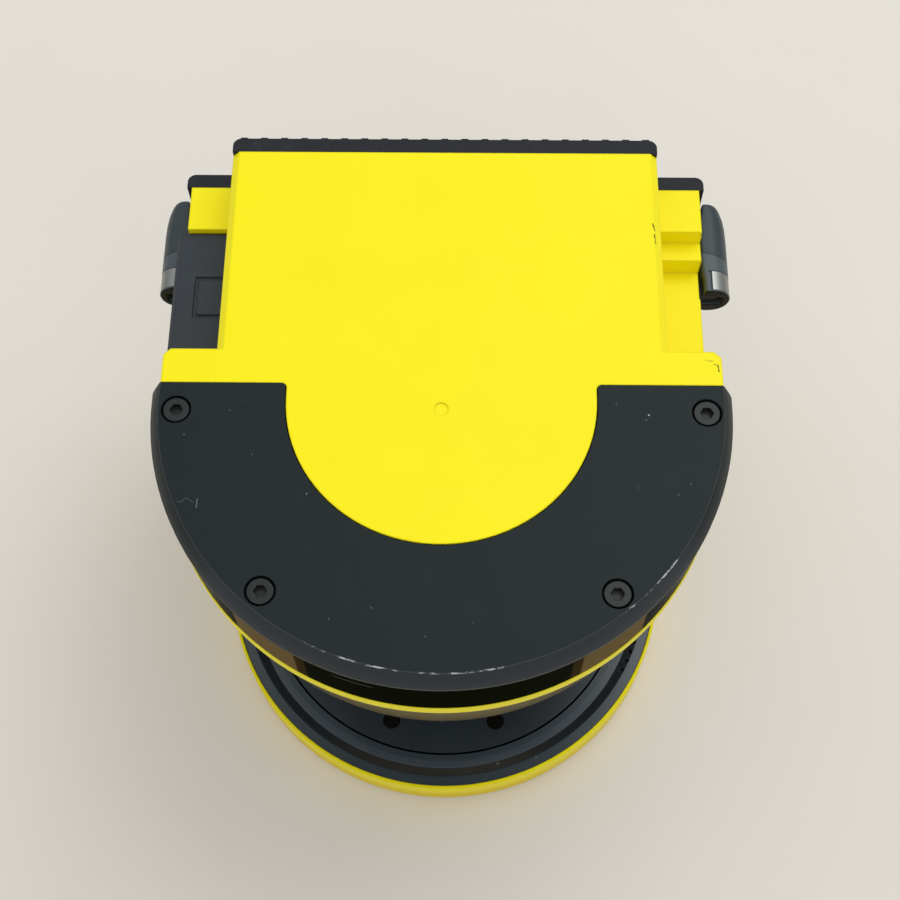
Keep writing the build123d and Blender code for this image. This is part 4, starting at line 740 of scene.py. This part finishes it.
def slot_cutter(side):
    """Box that cuts the slot for the hinge from the inner side and the front of a lever."""
    mesh = bpy.data.meshes.new("slot")
    box = bmesh.new()
    bmesh.ops.create_cube(box, size=1.0)
    for vertex in box.verts:
        vertex.co.x = side * (SLOT_OUTER if vertex.co.x > 0 else SLOT_INNER) * mm
        vertex.co.y = (SLOT_REAR if vertex.co.y > 0 else SLOT_FRONT) * mm
        vertex.co.z = (SLOT_HIGH if vertex.co.z > 0 else SLOT_LOW) * mm
    if side < 0:
        bmesh.ops.reverse_faces(box, faces=box.faces)
    box.to_mesh(mesh)
    box.free()
    cutter = bpy.data.objects.new("slot", mesh)
    bpy.context.scene.collection.objects.link(cutter)
    return cutter


LEVER_GREYS = ((0.016, 0.029, 0.036), (0.023, 0.038, 0.046))
PART_LINE, PART_LINE_SIDE, PART_LINE_SLOPE = 51.6, 63.0, 0.25
FRONT_END = (40.95, 41.15)


def lever_finish():
    """Blue-grey satin, lighter in front of the slanting part line as a painted reflection, dark on
    the front end.
    """
    finish = Finish("lever_grey")
    cloud = finish.noise(9.0, 3.0)
    color = finish.mix(cloud, *LEVER_GREYS)
    seam = finish.y - PART_LINE + (abs(finish.x) - PART_LINE_SIDE) * PART_LINE_SLOPE
    # Painted reflection: the lever is lighter in front of the part line.
    front = 1.0 - seam.rise(-0.1, 0.1)
    color = finish.mix(front * 0.45, color, (0.100, 0.125, 0.145))
    line = 1.0 - abs(seam).rise(0.08, 0.22)
    color = finish.mix(line * 0.8, color, (0.006, 0.009, 0.012))
    end = 1.0 - finish.y.rise(*FRONT_END)
    color = finish.mix(end, color, (0.010, 0.008, 0.004))
    specks = finish.specks(4.0, 0.10)
    color = finish.mix(specks * 0.2, color, SPECK_GREY)
    height = finish.noise(0.28) * 0.1 + (1.0 - line)
    return finish.surface(
        color, 0.36 + 0.1 * cloud, height, 0.05, 0.4, Metallic=end, Specular_IOR_Level=0.45
    )


lever_grey = lever_finish()
for side, name, body in ((1, "right_lever", "right_arm"), (-1, "left_lever", "left_arm")):
    points, faces = lever_surface(side)
    lever_mesh = bpy.data.meshes.new(name + "_bar")
    lever_mesh.from_pydata(points.tolist(), [], faces.tolist())
    seal(lever_mesh)
    lever = bpy.data.objects.new(name + "_bar", lever_mesh)
    bpy.context.scene.collection.objects.link(lever)
    cutter = slot_cutter(side)
    boolean = lever.modifiers.new("slot", "BOOLEAN")
    boolean.operation = "DIFFERENCE"
    boolean.solver = "EXACT"
    boolean.object = cutter
    bpy.context.view_layer.update()
    ready = bpy.context.evaluated_depsgraph_get()
    finished = bpy.data.meshes.new_from_object(lever.evaluated_get(ready))
    lever.modifiers.clear()
    lever.data = finished
    bpy.data.objects.remove(cutter)
    seal(finished)
    finished.materials.clear()
    finished.materials.append(lever_grey)
    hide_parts(name)
    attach(lever, body)

dress(metal_finish("band_steel", (0.30, 0.31, 0.29), 0.30, (1.0, 6.0, 1.0)), "left_lever_clip",
      "right_lever_clip", "lever_pins")

# Lift-off cover in the left recess, moulded in the same dark plastic as the plate.
# It has a grip mark on top, sits over the service socket and is lifted straight up.
dress(dark_finish("cover_grey", (0.015, 0.022, 0.032), roughness=0.44, edge=0.5),
      "connector_cover")

# Pale floor and soft studio light: a wide square light high at the rear right, and a bright
# room round the scanner that is lighter above than at the horizon.
FLOOR_REACH = 1.5
FLOOR_TONES = ((0.74, 0.69, 0.62), (0.77, 0.72, 0.65))
ROOM_TINT = (0.97, 0.99, 1.0, 1.0)
HORIZON_LIGHT, ZENITH_LIGHT, ZENITH_START = 0.42, 1.0, 0.85
KEY_PLACE, KEY_AIM = Vector((0.42, 0.45, 1.15)), Vector((0, 0, 0.08))
KEY_SIZE, KEY_WATTS, KEY_TINT = 0.8, 4.1, (0.96, 0.99, 1.0)

floor_mesh = bpy.data.meshes.new("floor")
corners = [(FLOOR_REACH * x, FLOOR_REACH * y, 0) for x, y in ((-1, -1), (1, -1), (1, 1), (-1, 1))]
floor_mesh.from_pydata(corners, [], [(0, 1, 2, 3)])
floor = bpy.data.objects.new("floor", floor_mesh)
bpy.context.scene.collection.objects.link(floor)
paper = Finish("floor_paper")
floor_mesh.materials.append(
    paper.surface(paper.mix(paper.noise(60.0, 3.0), *FLOOR_TONES), roughness=0.75)
)

world = bpy.data.worlds.new("room")
bpy.context.scene.world = world
world.use_nodes = True
sky, sky_links = world.node_tree.nodes, world.node_tree.links
direction = sky.new("ShaderNodeSeparateXYZ")
sky_links.new(sky.new("ShaderNodeTexCoord").outputs["Generated"], direction.inputs[0])
ramp = sky.new("ShaderNodeMapRange")
ramp.inputs["From Min"].default_value = 0.0
ramp.inputs["From Max"].default_value = ZENITH_START
ramp.inputs["To Min"].default_value = HORIZON_LIGHT
ramp.inputs["To Max"].default_value = ZENITH_LIGHT
sky_links.new(direction.outputs["Z"], ramp.inputs["Value"])
sky_links.new(ramp.outputs["Result"], sky["Background"].inputs["Strength"])
sky["Background"].inputs["Color"].default_value = ROOM_TINT

key_data = bpy.data.lights.new("key", "AREA")
key_data.shape = "SQUARE"
key_data.size = KEY_SIZE
key_data.energy = KEY_WATTS
key_data.color = KEY_TINT
key = bpy.data.objects.new("key", key_data)
key.location = KEY_PLACE
key.rotation_euler = (KEY_AIM - KEY_PLACE).to_track_quat("-Z", "Y").to_euler()
bpy.context.scene.collection.objects.link(key)

# Camera at the photograph's angle, above the front of the scanner and tilted steeply down.
# Its right and upward directions are level first and are then rolled about the view.
view_place = Vector((4.39, -143.44, 409.97)) * mm
view_pitch = math.radians(65.37)
view_yaw = math.radians(-1.06)
view_roll = math.radians(-0.55)
forward = Vector((
    math.sin(view_yaw) * math.cos(view_pitch),
    math.cos(view_yaw) * math.cos(view_pitch),
    -math.sin(view_pitch),
))
level = Vector((math.cos(view_yaw), -math.sin(view_yaw), 0))
upward = level.cross(forward)
right = math.cos(view_roll) * level + math.sin(view_roll) * upward
upward = math.cos(view_roll) * upward - math.sin(view_roll) * level
camera_data = bpy.data.cameras.new("camera")
camera_data.lens = 60.0
camera_data.sensor_width = 36.0
camera_data.clip_start = 0.01
camera = bpy.data.objects.new("camera", camera_data)
camera.matrix_world = Matrix((
    (right.x, upward.x, -forward.x, view_place.x),
    (right.y, upward.y, -forward.y, view_place.y),
    (right.z, upward.z, -forward.z, view_place.z),
    (0, 0, 0, 1),
))
bpy.context.scene.collection.objects.link(camera)
bpy.context.scene.camera = camera
bpy.context.scene.view_settings.view_transform = "Standard"
